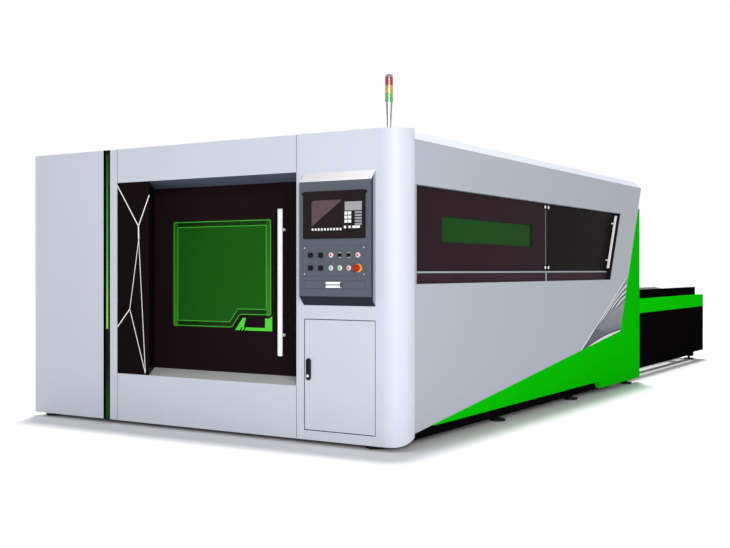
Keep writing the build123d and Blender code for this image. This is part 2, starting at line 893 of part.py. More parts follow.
# Electrical cabinet behind the column, with its mounting plate, modules and hinge lugs
hinge_x = cabinet_x[1] - panel_gap - hinge_inset
hinge_y = deep(hinge_inset)
door_gap_z = (cabinet_z[0] + panel_gap, cabinet_z[1] - panel_gap)
hinge_ends = ((door_gap_z[0], -1), (door_gap_z[1], 1))
with BuildPart() as cabinet_box:
    inner_x = (cabinet_x[0] - cabinet_margin, cabinet_x[1] + cabinet_margin)
    inner_z = (base_top, cabinet_z[1] + cabinet_margin)
    inner_y = (deep(sheet), deep(recess_depth - cabinet_rear_gap))
    block(inner_x, inner_y, inner_z)
    offset(amount=-sheet, openings=faces().sort_by(Axis.Y)[0], kind=Kind.INTERSECTION)
    block((cabinet_x[0], cabinet_x[1] + hinge_inset), (deep(0), deep(2 * cabinet_door_depth)),
          (inner_z[0], inner_z[0] + sheet), mode=Mode.SUBTRACT)
    plate_y = inner_y[1] - sheet - mount_plate
    block((inner_x[0] + cabinet_margin, inner_x[1] - cabinet_margin), (plate_y, inner_y[1] - sheet),
          (inner_z[0] + cabinet_margin, inner_z[1] - cabinet_margin))
    row_height = module_height + module_gap
    for row, widths in enumerate(module_row_shares):
        x = inner_x[0] + cabinet_margin + module_gap
        z = inner_z[0] + cabinet_margin + module_gap + row * row_height
        for share in widths:
            width = share * (cabinet_width - 4 * module_gap)
            block((x, x + width), (plate_y - module_depth, plate_y), (z, z + module_height))
            x += width + module_gap / 3
    for end_z, outward in hinge_ends:
        lug_z = sorted((end_z + outward * running_gap, end_z + outward * hinge_lug))
        block((hinge_x - hinge_lug, inner_x[1] - sheet), (deep(sheet), hinge_y + hinge_lug), lug_z)
        with BuildSketch(Plane.XY.offset(lug_z[0])) as lug_bore:
            with Locations((hinge_x, hinge_y)):
                RegularPolygon(hinge_pin_radius + bore_gap, coarse_sides, major_radius=False)
        extrude(lug_bore.sketch, amount=hinge_lug, mode=Mode.SUBTRACT)
    block((inner_x[1] - sheet, inner_x[1]), (deep(sheet), hinge_y + hinge_lug),
          (door_gap_z[0] - hinge_lug, inner_z[0]))

with BuildPart() as cabinet_door:
    cabinet_door_x = (cabinet_x[0] + panel_gap, cabinet_x[1] - panel_gap)
    folded_panel(front_plane, front_outline(cabinet_door_x, door_gap_z), cabinet_door_depth, Axis.Y)
    lever_middle = corner_x - lever_right
    spindle_z = up(lever_bottom + lever_height) - lever_width / 2
    with BuildSketch(front_plane):
        with Locations((lever_middle, spindle_z)):
            RegularPolygon(spindle_radius + bore_gap, fine_sides, major_radius=False)
    extrude(amount=-sheet, mode=Mode.SUBTRACT)
    for end_z, outward in hinge_ends:
        block((hinge_x - hinge_inset, cabinet_door_x[1]), (deep(sheet), deep(cabinet_door_depth)),
              sorted((end_z - outward * hinge_lug, end_z)))
        with BuildSketch(Plane.XY.offset(end_z)):
            with Locations((hinge_x, hinge_y)):
                Circle(hinge_pin_radius)
        extrude(amount=outward * hinge_pin_length)

with BuildPart() as cabinet_latch:
    lever_y = deep(0) - lever_gap
    with BuildSketch(Plane.XZ.offset(-lever_y)):
        with Locations((lever_middle, up(lever_bottom + lever_height / 2))):
            Rectangle(lever_width, lever_height)
        chamfer(vertices(), length=lever_width / 3)
    extrude(amount=lever_thickness)
    chamfer(faces().sort_by(Axis.Y)[0].edges(), length=lever_thickness / 4)
    with BuildSketch(Plane.XZ.offset(-lever_y)):
        with Locations((lever_middle, spindle_z)):
            Circle(spindle_radius)
    extrude(amount=-spindle_length)

# Control box: a bevelled hood on the column, with cut-outs for what it carries
column_places = [corner_x - button_right - button_pitch * step for step in range(4)]
square_places = [column_places[3] - square_pitch * step for step in (1, 2)]
drawer_x = (corner_x - drawer_right - drawer_width, corner_x - drawer_right)
drawer_z = (up(drawer_bottom), up(drawer_bottom + drawer_height))
bezel_x = (corner_x - bezel_right - bezel_width, corner_x - bezel_right)
bezel_z = (up(bezel_bottom), up(bezel_bottom + bezel_height))
tray_x = (drawer_x[0] + drawer_side, drawer_x[1] - drawer_side)
tray_z = (drawer_z[0] + drawer_gap, drawer_z[1] - 2 * drawer_gap)
tray_end = box_face_y + drawer_depth
row_places = [(x, up(row)) for row in (upper_row, lower_row) for x in column_places + square_places]
with BuildPart() as control_box:
    with BuildSketch(Plane.YZ.offset(box_x[0])):
        with BuildLine():
            Polyline(
                (deep(0), box_z[0]),
                (box_face_y, box_z[0] + box_bevel),
                (box_face_y, box_z[1] - box_bevel),
                (deep(0), box_z[1]),
                close=True,
            )
        make_face()
    extrude(amount=box_width)
    offset(amount=-sheet, openings=faces().sort_by(Axis.Y)[-1], kind=Kind.INTERSECTION)
    with BuildSketch(Plane.XZ.offset(-box_face_y)):
        with BuildLine():
            Polyline(*front_outline(
                (bezel_x[0] + bezel_lap, bezel_x[1] - bezel_lap),
                (bezel_z[0] + bezel_lap, bezel_z[1] - bezel_lap)), close=True)
        make_face()
        with BuildLine():
            Polyline(*front_outline(
                (drawer_x[0] - drawer_gap, drawer_x[1] + drawer_gap),
                (drawer_z[0] - drawer_gap, drawer_z[1] + drawer_gap)), close=True)
        make_face()
        with Locations(*row_places):
            RegularPolygon(button_stem_radius + running_gap, coarse_sides, major_radius=False)
    extrude(amount=-sheet, mode=Mode.SUBTRACT)
    for runner_x in (tray_x[0], tray_x[1] - runner_width):
        block((runner_x, runner_x + runner_width), (box_face_y + sheet, tray_end),
              (tray_z[0] - running_gap - runner_height, tray_z[0] - running_gap))
        block((runner_x, runner_x + runner_width), (box_face_y, box_face_y + 2 * sheet),
              (drawer_z[0] - runner_height - drawer_gap, drawer_z[0] - drawer_gap))

with BuildPart() as screen_bezel:
    with BuildSketch(Plane.XZ.offset(-box_face_y)):
        with BuildLine():
            Polyline(*front_outline(bezel_x, bezel_z), close=True)
        make_face()
        fillet(vertices(), radius=bezel_radius)
    extrude(amount=bezel_proud)
    bezel_face = box_face_y - bezel_proud
    with BuildSketch(Plane.XZ.offset(-bezel_face)):
        with BuildLine():
            Polyline(*front_outline(
                (corner_x - screen_right - screen_width, corner_x - screen_right),
                (up(screen_bottom), up(screen_bottom + screen_height))), close=True)
        make_face()
    extrude(amount=-screen_recess, mode=Mode.SUBTRACT)
    block((bezel_x[0] + bezel_lap, bezel_x[1] - bezel_lap), (box_face_y, box_face_y + bezel_back),
          (bezel_z[0] + bezel_lap, bezel_z[1] - bezel_lap))

with BuildPart() as keypad_keys:
    pad_x = (corner_x - pad_right - pad_width, corner_x - pad_right)
    readout_z = up(pad_top) - readout_height
    letter_step = (letter_key_width + letter_key_gap, letter_key_height + letter_key_gap)
    wide_step = wide_key_height + wide_key_gap
    with BuildSketch(Plane.XZ.offset(-bezel_face)):
        with Locations((corner_x - screen_right - screen_width / 2 + soft_key_shift,
                        up(soft_key_height - soft_key_size / 2))):
            with GridLocations(soft_key_pitch, soft_key_pitch, soft_key_count, 1):
                Rectangle(soft_key_width, soft_key_size)
        with Locations((pad_x[1] - readout_width / 2, readout_z + readout_height / 2)):
            Rectangle(readout_width, readout_height)
        with Locations((pad_x[0] + letter_key_inset + letter_step[0] - letter_key_gap / 2,
                        readout_z - letter_key_gap / 2 - letter_step[1] * letter_rows / 2)):
            with GridLocations(*letter_step, letter_columns, letter_rows):
                Rectangle(letter_key_width, letter_key_height)
        with Locations((pad_x[1] - wide_key_width / 2,
                        readout_z - wide_key_gap / 2 - wide_step * wide_rows / 2)):
            with GridLocations(wide_step, wide_step, 1, wide_rows):
                Rectangle(wide_key_width, wide_key_height)
        for start, end in foot_key_shares:
            with Locations((pad_x[0] + (start + end) / 2 * pad_width,
                            up(foot_key_bottom) + foot_key_height / 2)):
                Rectangle((end - start) * pad_width, foot_key_height)
    extrude(amount=key_height)

# Operators: right-hand columns first, emergency stop at the lower right
estop_place = (column_places[0], up(lower_row))
round_places = [(x, up(row)) for row in (upper_row, lower_row) for x in column_places]
plain_places = [place for place in round_places if place != estop_place]
with BuildPart() as button_rings:
    with BuildSketch(Plane.XZ.offset(-box_face_y)):
        with Locations(*plain_places):
            RegularPolygon(ring_radius, fine_sides)
        with Locations(estop_place):
            RegularPolygon(estop_ring_radius, fine_sides)
        with Locations(*round_places):
            RegularPolygon(button_radius + running_gap, fine_sides, major_radius=False, mode=Mode.SUBTRACT)
    extrude(amount=ring_height)

operators = {}
cap_gap = button_length / 3 + running_gap
round_names = (
    "red_button_1", "selector_1", "selector_2", "red_button_2",
    "estop_button", "red_button_3", "green_button_1", "green_button_2",
)
black_names = ("black_button_1", "black_button_2", "black_button_3", "black_button_4")
square_rows = [(x, up(row)) for row in (upper_row, lower_row) for x in square_places]
for name, place in zip(round_names + black_names, round_places + square_rows):
    with BuildPart() as operator:
        with BuildSketch(Plane.XZ.offset(-box_face_y - button_stem)):
            with Locations(place):
                if name.startswith("selector"):
                    Circle(button_stem_radius)
                else:
                    RegularPolygon(button_stem_radius, coarse_sides)
        extrude(amount=button_stem + cap_gap)
        with BuildSketch(Plane.XZ.offset(-box_face_y + cap_gap)):
            with Locations(place):
                if name.startswith("black"):
                    Rectangle(square_button, square_button)
                    chamfer(vertices(), length=square_corner)
                else:
                    RegularPolygon(button_radius, fine_sides)
        extrude(amount=button_length - cap_gap)
        if name.startswith("selector"):
            with BuildSketch(Plane.XZ.offset(-box_face_y + button_length)):
                with Locations(place):
                    Rectangle(selector_bar, 2 * button_radius - selector_bar)
            extrude(amount=selector_proud)
        if name == "estop_button":
            with BuildSketch(Plane.XZ.offset(-box_face_y + button_length)):
                with Locations(place):
                    RegularPolygon(button_radius, fine_sides)
            extrude(amount=ring_height + estop_height - estop_cap - button_length)
            with BuildSketch(Plane.XZ.offset(-box_face_y + ring_height + estop_height - estop_cap)):
                with Locations(place):
                    RegularPolygon(estop_radius, fine_sides)
            extrude(amount=estop_cap)
            chamfer(edges().group_by(Axis.Y)[0], length=estop_cap / 3)
    operators[name] = operator.part

# Keyboard drawer: a front with a pull, and an open tray on the runners
with BuildPart() as keyboard_drawer:
    block(tray_x, (box_face_y, tray_end), tray_z)
    offset(amount=-drawer_wall, openings=faces().sort_by(Axis.Z)[-1], kind=Kind.INTERSECTION)
    block(drawer_x, (box_face_y, box_face_y + sheet), drawer_z)
    pull_x = (corner_x - pull_right - pull_width, corner_x - pull_right)
    pull_z = (drawer_z[0] + drawer_z[1] - pull_height) / 2
    with BuildSketch(Plane.YZ.offset(pull_x[0])):
        with BuildLine():
            Polyline(
                (box_face_y, pull_z),
                (box_face_y - pull_reach, pull_z),
                (box_face_y - pull_reach, pull_z + pull_height),
                (box_face_y, pull_z + pull_height),
            )
            offset(amount=sheet, side=Side.LEFT, kind=Kind.INTERSECTION)
        make_face()
    extrude(amount=pull_width)

# Signal tower: a tapered pole on a foot, three lamps, and a cap on top
tower_place = (corner_x - tower_right, deep(tower_depth))
pole_z = (panel_z[1] + tower_base_height, panel_z[1] + pole_height)
lamp_z = pole_z[1] + lamp_seat
lamp_step = lamp_height + lamp_seat
cap_z = (lamp_z + 3 * lamp_step, lamp_z + 3 * lamp_step + cap_height)
with BuildPart() as tower_pole:
    tower_sections = (
        ((panel_z[1], tower_base_radius), (pole_z[0], tower_base_radius)),
        ((pole_z[0], pole_foot_radius), (pole_z[1], lamp_seat_radius)),
        ((pole_z[1], lamp_seat_radius), (lamp_z, lamp_seat_radius)),
        ((cap_z[0], lamp_radius), (cap_z[1], cap_top_radius)),
    )
    for section in tower_sections:
        ends = []
        for z, radius in section:
            with BuildSketch(Plane.XY.offset(z)) as end:
                with Locations(tower_place):
                    RegularPolygon(radius, fine_sides)
            ends.append(end.sketch)
        loft(ends, ruled=True)

lamps = {}
for order, name in enumerate(("tower_green", "tower_amber", "tower_red")):
    foot_z = lamp_z + order * lamp_step
    with BuildPart() as lamp:
        lens = (foot_z, lamp_radius, lamp_height)
        seat = (foot_z + lamp_height, lamp_seat_radius, lamp_seat)
        for z, radius, height in (lens, seat):
            with BuildSketch(Plane.XY.offset(z)):
                with Locations(tower_place):
                    RegularPolygon(radius, fine_sides)
            extrude(amount=height)
    lamps[name] = lamp.part

# Window leaves of the right side, folding outwards
leaf_x = (right_x - leaf_set_back - leaf_thickness, right_x - leaf_set_back)
leaf_z = (up(kick_top) + panel_gap, up(leaf_top) - panel_gap)
leaf_plane = Plane.YZ.offset(leaf_x[1])
hinge_axis_x = leaf_x[1] + leaf_hinge_radius + running_gap
knuckle_gap = leaf_hinge_radius + leaf_pin_radius / 2
seam_y = deep(leaf_seam_depth)
hinge_levels = (leaf_z[0] + leaf_hinge_inset, leaf_z[1] - leaf_hinge_inset - leaf_hinge_height)
front_leaf_y = (deep(window_front_depth) + panel_gap, seam_y - panel_gap)
view_y = (deep(view_front_depth), seam_y - view_rear_gap)
view_z = (up(kick_top) + view_rise, up(kick_top) + view_rise + view_height)
with BuildPart() as front_leaf:
    block(leaf_x, front_leaf_y, leaf_z)
    block(leaf_x, view_y, view_z, mode=Mode.SUBTRACT)
    for z in (leaf_z[0], leaf_z[1] - pivot_block_height):
        with BuildSketch(Plane.XY.offset(z)):
            with Locations((pivot_x, pivot_y)):
                RegularPolygon(pivot_block_radius, fine_sides)
            with Locations((pivot_x, pivot_y + pivot_block_length / 2)):
                Rectangle(2 * pivot_block_radius, pivot_block_length)
        extrude(amount=pivot_block_height)
    with Locations((pivot_x, pivot_y, leaf_z[1])):
        Cylinder(pivot_radius + bore_gap, pivot_block_height, align=(Align.CENTER, Align.CENTER, Align.MAX),
                 mode=Mode.SUBTRACT)
    for z in hinge_levels:
        block((leaf_x[1], leaf_x[1] + leaf_hinge_plate),
              (seam_y - knuckle_gap - leaf_hinge_leaf, seam_y - knuckle_gap), (z, z + leaf_hinge_height))
        with BuildSketch(Plane.XY.offset(z)):
            with Locations((hinge_axis_x, seam_y)):
                RegularPolygon(leaf_hinge_radius, fine_sides)
            with Locations((leaf_x[1] + leaf_hinge_plate / 2, seam_y - knuckle_gap / 2 - panel_gap)):
                Rectangle(leaf_hinge_plate, knuckle_gap)
        extrude(amount=leaf_hinge_height / 2 - running_gap)
        with BuildSketch(Plane.XY.offset(z)):
            with Locations((hinge_axis_x, seam_y)):
                RegularPolygon(leaf_pin_radius, fine_sides)
        extrude(amount=leaf_hinge_height)

with BuildPart() as leaf_window:
    block((leaf_x[0] - view_thickness, leaf_x[0]), (view_y[0] - view_lap, view_y[1] + view_lap),
          (view_z[0] - view_lap, view_z[1] + view_lap))

with BuildPart() as rear_leaf:
    leaf_edge_low = deep(window_edge(kick_top)) - panel_gap
    leaf_edge_high = deep(window_edge(leaf_top)) - 2 * panel_gap
    with BuildSketch(leaf_plane):
        with BuildLine():
            Polyline(
                (seam_y + panel_gap, leaf_z[0]),
                (leaf_edge_low, leaf_z[0]),
                (leaf_edge_high, leaf_z[1]),
                (seam_y + panel_gap, leaf_z[1]),
                close=True,
            )
        make_face()
    extrude(amount=-leaf_thickness)
    for z in hinge_levels:
        block((leaf_x[1], leaf_x[1] + leaf_hinge_plate),
              (seam_y + knuckle_gap, seam_y + knuckle_gap + leaf_hinge_leaf), (z, z + leaf_hinge_height))
        with BuildSketch(Plane.XY.offset(z + leaf_hinge_height / 2)):
            with Locations((hinge_axis_x, seam_y)):
                RegularPolygon(leaf_hinge_radius, fine_sides)
            with Locations((leaf_x[1] + leaf_hinge_plate / 2, seam_y + knuckle_gap / 2 + panel_gap)):
                Rectangle(leaf_hinge_plate, knuckle_gap)
            with Locations((hinge_axis_x, seam_y)):
                Circle(leaf_pin_radius + bore_gap, mode=Mode.SUBTRACT)
        extrude(amount=leaf_hinge_height / 2)

with BuildPart() as leaf_handle:
    bar_z = (leaf_z[0] + side_handle_margin, leaf_z[1] - side_handle_margin)
    bar_y = [deep(window_edge(z - floor_gap)) - side_handle_edge for z in bar_z]
    with BuildSketch(Plane.YZ.offset(leaf_x[1] + side_handle_reach)):
        with BuildLine():
            Polyline(
                (bar_y[0], bar_z[0]),
                (bar_y[0] + side_handle_width, bar_z[0]),
                (bar_y[1] + side_handle_width, bar_z[1]),
                (bar_y[1], bar_z[1]),
                close=True,
            )
        make_face()
    extrude(amount=side_handle_thickness)
    with BuildSketch(leaf_plane):
        for share in side_post_shares:
            post_place = (
                bar_y[0] + share * (bar_y[1] - bar_y[0]) + side_handle_width / 2,
                bar_z[0] + share * (bar_z[1] - bar_z[0]),
            )
            with Locations(post_place):
                RegularPolygon(side_post_radius, coarse_sides)
    extrude(amount=side_handle_reach)

# Gantry: hollow beam on two carriages that ride the bed rails
gantry_y = (deep(gantry_front_depth), deep(gantry_front_depth + gantry_depth))
gantry_z = (bed_top + rail_height + carriage_height, bed_top + rail_height + carriage_height + gantry_height)
cross_rails = (gantry_z[0] + cross_rail_edge, gantry_z[1] - cross_rail_edge - cross_rail_height)
with BuildPart() as gantry_beam:
    with BuildSketch(Plane.YZ.offset(bed_x - bed_outer)):
        with Locations(((gantry_y[0] + gantry_y[1]) / 2, (gantry_z[0] + gantry_z[1]) / 2)):
            Rectangle(gantry_depth, gantry_height)
            Rectangle(gantry_depth - 2 * gantry_wall, gantry_height - 2 * gantry_wall, mode=Mode.SUBTRACT)
    extrude(amount=2 * bed_outer)
    for z in cross_rails:
        block((bed_x - bed_outer + rail_margin, bed_x + bed_outer - rail_margin),
              (gantry_y[0] - cross_rail_depth, gantry_y[0]), (z, z + cross_rail_height))
    for side in (-1, 1):
        carriage_x = bed_x + side * (bed_inner + bed_beam_width / 2)
        carriage_y = (gantry_y[0] + gantry_y[1]) / 2
        block((carriage_x - carriage_width / 2, carriage_x + carriage_width / 2),
              (carriage_y - carriage_length / 2, carriage_y + carriage_length / 2),
              (bed_top + rail_height + running_gap, gantry_z[0]))

# Cross carriage with its bearing blocks and the rails of the vertical slide
cross_plate_y = gantry_y[0] - cross_rail_depth - cross_block_depth
with BuildPart() as cross_carriage:
    block((bed_x - cross_plate_width / 2, bed_x + cross_plate_width / 2),
          (cross_plate_y - cross_plate_thickness, cross_plate_y), gantry_z)
    for z in cross_rails:
        for x in (bed_x - cross_plate_width / 2, bed_x + cross_plate_width / 2 - cross_block_width):
            block((x, x + cross_block_width), (cross_plate_y, gantry_y[0] - cross_rail_depth - running_gap),
                  (z + (cross_rail_height - cross_block_height) / 2,
                   z + (cross_rail_height + cross_block_height) / 2))
    head_rail_y = cross_plate_y - cross_plate_thickness
    for x in (bed_x - head_rail_spread / 2, bed_x + head_rail_spread / 2):
        block((x - head_rail_width / 2, x + head_rail_width / 2),
              (head_rail_y - head_rail_depth, head_rail_y), gantry_z)

# Cutting head on its slide plate: body, cone and nozzle turned about the beam axis
slide_y = head_rail_y - head_rail_depth - running_gap
with BuildPart() as cutting_head:
    slide_z = (gantry_z[0] + slide_drop, gantry_z[0] + slide_drop + slide_height)
    block((bed_x - slide_width / 2, bed_x + slide_width / 2), (slide_y - slide_thickness, slide_y), slide_z)
    head_y = slide_y - slide_thickness - head_gap - head_radius
    cone_z = nozzle_clearance + nozzle_height + head_cone_height
    nozzle_top = nozzle_clearance + nozzle_height
    head_sections = (
        ((nozzle_clearance, nozzle_tip_radius), (nozzle_top, nozzle_radius)),
        ((nozzle_top, collar_radius), (cone_z, head_radius)),
        ((cone_z, head_radius), (cone_z + head_height, head_radius)),
    )
    for section in head_sections:
        ends = []
        for z, radius in section:
            with BuildSketch(Plane.XY.offset(z)) as end:
                with Locations((bed_x, head_y)):
                    RegularPolygon(radius, fine_sides)
            ends.append(end.sketch)
        loft(ends, ruled=True)
    block((bed_x - head_radius, bed_x + head_radius), (head_y, slide_y - slide_thickness),
          (cone_z + head_gap, slide_z[1] - head_gap))

# Lift platform: two side plates with an upper and a lower ledge, ties and guide shoes
outer_y = deep(pallet_front_depth + pallet_travel)
platform_y = (outer_y - platform_front_gap, deep(body_depth + table_length) - platform_rear_gap)
platform_length = platform_y[1] - platform_y[0]
plate_inner = pallet_width / 2 + platform_side_gap
plate_outer = plate_inner + platform_plate
column_places_y = (deep(body_depth) + column_front_gap, deep(body_depth + table_length) - column_rear_gap)
column_inner = plate_outer + column_size
tie_z = (pallet_level - ledge_height - platform_drop, pallet_level - ledge_height)
tie_starts = [platform_y[0] + share * platform_length for share in platform_tie_shares]
lift_platform = Compound(bars(
    *[(span, platform_y, (tie_z[0], upper_level)) for span in both_sides(plate_inner, plate_outer)],
    *[(span, platform_y, (level - ledge_height, level))
      for span in both_sides(plate_inner - ledge_width, plate_inner)
      for level in (pallet_level, upper_level)],
    *[(span, (y, y + column_size), (pallet_level, pallet_level + shoe_height))
      for span in both_sides(plate_outer, column_inner - running_gap) for y in column_places_y],
    *[((bed_x - plate_inner, bed_x + plate_inner), (y, y + platform_tie), tie_z) for y in tie_starts],
))


def fill_pallet(y_start, level):
    """Fill the open part with a pallet: a frame of four rails and a row of toothed slats."""
    z = (level + running_gap, level + running_gap + pallet_rail_height)
    half = pallet_width / 2
    with BuildSketch(Plane.XY.offset(z[0])) as frame_plan:
        with Locations((bed_x, y_start + pallet_length / 2)):
            Rectangle(pallet_width, pallet_length)
            Rectangle(pallet_width - 2 * pallet_rail_width, pallet_length - 2 * pallet_rail_width,
                      mode=Mode.SUBTRACT)
    extrude(frame_plan.sketch, amount=pallet_rail_height)
    slat_half = half - pallet_rail_width / 2
    slat_top = z[0] + pallet_height
    tooth_count = int(2 * slat_half / tooth_pitch)
    tooth = 2 * slat_half / tooth_count
    teeth = []
    for step in range(tooth_count):
        start = bed_x - slat_half + step * tooth
        teeth += [(start, slat_top - tooth_depth), (start + tooth / 2, slat_top)]
    teeth.append((bed_x + slat_half, slat_top - tooth_depth))
    with BuildSketch(Plane.XZ.offset(-y_start)) as slat_profile:
        with BuildLine():
            Polyline(*teeth, (bed_x + slat_half, z[0] + slat_foot), (bed_x - slat_half, z[0] + slat_foot),
                     close=True)
        make_face()
    slat = extrude(slat_profile.sketch, amount=-slat_thickness, mode=Mode.PRIVATE)
    slat_count = int((pallet_length - 2 * pallet_rail_width) / slat_pitch)
    first = (pallet_length - (slat_count - 1) * slat_pitch) / 2
    for step in range(slat_count):
        with Locations((0, first + step * slat_pitch, 0)):
            add(slat)


with BuildPart() as inner_pallet:
    fill_pallet(deep(pallet_front_depth), pallet_level)

with BuildPart() as outer_pallet:
    fill_pallet(outer_y, upper_level)

# Table frame: green channel beams round three sides
beam_z = (up(table_beam_bottom), up(table_beam_bottom + table_beam_height))
table_y = (deep(rear_edge(lower_panel_height)), deep(body_depth + table_length))
with BuildPart() as table_frame:
    with BuildSketch(Plane.XY.offset(beam_z[0])):
        with BuildLine():
            Polyline(
                (table_x[0], table_y[0]),
                (table_x[0] + table_beam_width, table_y[0]),
                (table_x[0] + table_beam_width, table_y[1] - table_beam_width),
                (table_x[1] - table_beam_width, table_y[1] - table_beam_width),
                (table_x[1] - table_beam_width, table_y[0]),
                (table_x[1], table_y[0]),
                (table_x[1], table_y[1]),
                (table_x[0], table_y[1]),
                close=True,
            )
        make_face()
    extrude(amount=table_beam_height)
    offset(amount=-table_wall, openings=faces().sort_by(Axis.Z)[0], kind=Kind.INTERSECTION)

# Table base: legs, ties between them, lift columns, skirts and the guards on the beams
leg_spans = [(x - leg_width / 2, x + leg_width / 2) for x in leg_x]
leg_rows = [(y - leg_width / 2, y + leg_width / 2) for y in leg_y]
low_tie_z = (foot_height + tie_gap, foot_height + tie_gap + tie_height)
skirt_z = (up(table_skirt_bottom), beam_z[0])
skirt_ends = (table_x[0] + skirt_plate, table_x[1] - skirt_plate)
guard_starts = (table_x[0] + guard_inset, table_x[1] - guard_inset - guard_width)
table_base = Compound(bars(
    *[(span, row, (foot_height, beam_z[0])) for span in leg_spans for row in leg_rows],
    *[(span, (leg_rows[0][1], leg_rows[1][0]), low_tie_z) for span in leg_spans],
    *[((leg_spans[0][1], leg_spans[1][0]), (y, y + column_size), low_tie_z) for y in column_places_y],
    *[(span, (y, y + column_size), (low_tie_z[1], upper_level))
      for span in both_sides(column_inner, column_inner + column_size) for y in column_places_y],
    ((table_x[0], skirt_ends[0]), table_y, skirt_z),
    ((skirt_ends[1], table_x[1]), table_y, skirt_z),
    (skirt_ends, (table_y[1] - skirt_plate, table_y[1]), skirt_z),
    *[((x, x + guard_width), (table_y[0], table_y[1] - guard_end_gap), (beam_z[1], up(guard_top)))
      for x in guard_starts],
))

os.makedirs("parts", exist_ok=True)
parts = {
    "left_bay_panel": left_bay_panel,
    "led_channel": led_channel,
    "led_diffuser": led_diffuser,
    "levelling_feet": levelling_feet,
    "portal_pillar": portal_pillar,
    "portal_lintel": portal_lintel,
    "portal_apron": portal_apron,
    "portal_jamb": portal_jamb,
    "control_column": control_column,
    "roof_panel": roof_panel,
    "side_header_panel": side_header_panel,
    "side_lower_panel": side_lower_panel,
    "side_end_panel": side_end_panel,
    "right_skirt": right_skirt,
    "left_skirt": left_skirt,
    "left_side_panel": left_side_panel,
    "fixed_glazing": fixed_glazing,
    "rear_portal": rear_portal,
    "door_track": door_track,
    "door_panel": door_panel,
    "door_window": door_window,
    "door_handle": door_handle,
    "cabinet_box": cabinet_box,
    "cabinet_door": cabinet_door,
    "cabinet_latch": cabinet_latch,
    "control_box": control_box,
    "screen_bezel": screen_bezel,
    "keypad_keys": keypad_keys,
    "button_rings": button_rings,
    "keyboard_drawer": keyboard_drawer,
    "tower_pole": tower_pole,
    "front_leaf": front_leaf,
    "leaf_window": leaf_window,
    "rear_leaf": rear_leaf,
    "leaf_handle": leaf_handle,
    "gantry_beam": gantry_beam,
    "cross_carriage": cross_carriage,
    "cutting_head": cutting_head,
    "inner_pallet": inner_pallet,
    "outer_pallet": outer_pallet,
    "table_frame": table_frame,
}
shapes = {node: builder.part for node, builder in parts.items()}
shapes |= {"base_frame": base_frame, "enclosure_frame": enclosure_frame}
shapes |= {"lift_platform": lift_platform, "table_base": table_base}
shapes |= operators | lamps
for node, shape in shapes.items():
    shape.label = node
    export_step(shape, f"parts/{node}.step")
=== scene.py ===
"""Looks of an enclosed laser cutting machine, laid out as a Blender add-on."""
import math

import bpy
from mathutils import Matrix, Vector


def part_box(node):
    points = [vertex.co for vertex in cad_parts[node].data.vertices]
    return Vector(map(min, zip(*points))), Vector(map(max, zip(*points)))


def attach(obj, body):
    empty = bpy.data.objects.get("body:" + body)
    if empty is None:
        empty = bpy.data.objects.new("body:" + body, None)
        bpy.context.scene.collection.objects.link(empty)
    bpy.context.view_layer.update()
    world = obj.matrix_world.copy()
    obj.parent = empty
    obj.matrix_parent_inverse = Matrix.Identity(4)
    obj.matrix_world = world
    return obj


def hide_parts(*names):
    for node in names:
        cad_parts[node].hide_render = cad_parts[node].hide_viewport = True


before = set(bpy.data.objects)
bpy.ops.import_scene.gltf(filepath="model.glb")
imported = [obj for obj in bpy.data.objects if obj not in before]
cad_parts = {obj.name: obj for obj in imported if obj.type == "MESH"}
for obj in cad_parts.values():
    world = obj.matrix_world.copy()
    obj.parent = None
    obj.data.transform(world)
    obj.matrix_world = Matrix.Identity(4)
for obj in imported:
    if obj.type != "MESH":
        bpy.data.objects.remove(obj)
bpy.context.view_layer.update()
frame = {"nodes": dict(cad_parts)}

bl_info = {
    "name": "Laser Cutting Machine",
    "version": (1, 0, 0),
    "blender": (4, 5, 0),
    "location": "View3D > Sidebar > Laser Cell",
    "description": "Finishes, trim and studio for an enclosed sheet-metal laser cutting machine",
    "category": "Object",
}

# Small sizes of the panels, in metres
BOX_TO_CORNER = 0.045
LEAF_THICKNESS = 0.012
CABINET_GAP = 0.003
# points this near a plane count as lying in it
SLACK = 0.0005

# Places taken from the frame, in metres
FRONT_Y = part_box("left_bay_panel")[0].y
FLOOR_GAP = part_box("left_bay_panel")[0].z
LINTEL_LOW, LINTEL_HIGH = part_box("portal_lintel")
JAMB_LOW, JAMB_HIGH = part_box("portal_jamb")
DOOR_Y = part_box("door_panel")[0].y
PANE_LOW, PANE_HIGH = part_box("door_window")
BOX_LOW, BOX_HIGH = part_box("control_box")
CORNER_X = BOX_HIGH.x + BOX_TO_CORNER
BEZEL_LOW, BEZEL_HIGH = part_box("screen_bezel")
LATCH_LOW, LATCH_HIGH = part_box("cabinet_latch")
LEAF_LOW, LEAF_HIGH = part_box("front_leaf")
LEAF_SKIN_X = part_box("leaf_window")[1].x + LEAF_THICKNESS
LEAF_SEAM_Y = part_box("rear_leaf")[0].y

# Printed fan on the right side panel: where it starts behind the front, its length and the height of its foot
FAN_START = 3.326
FAN_LENGTH = 1.364
FAN_FOOT = 0.417
# each stripe of the fan: distance under its upper edge, how it bends away and from where, and where it starts
FAN_STRIPES = (
    (0.006, 0.00, 0.00, -1.00),
    (0.037, 0.48, 0.66, 0.40),
    (0.073, 0.54, 0.63, 0.62),
    (0.115, 0.37, 0.55, 0.75),
)


def colour_setting(title, words, default):
    """A colour that a user would change, as the screen shows it."""
    return bpy.props.FloatVectorProperty(
        name=title, description=words, subtype="COLOR_GAMMA", size=3, min=0.0, max=1.0, default=default,
    )


def length_setting(title, words, default):
    """A length that a user would change, in metres."""
    return bpy.props.FloatProperty(name=title, description=words, unit="LENGTH", min=0.0, default=default)


def number_setting(title, words, default, unit="NONE"):
    """A number that a user would change, with its unit if it has one."""
    return bpy.props.FloatProperty(name=title, description=words, unit=unit, default=default)


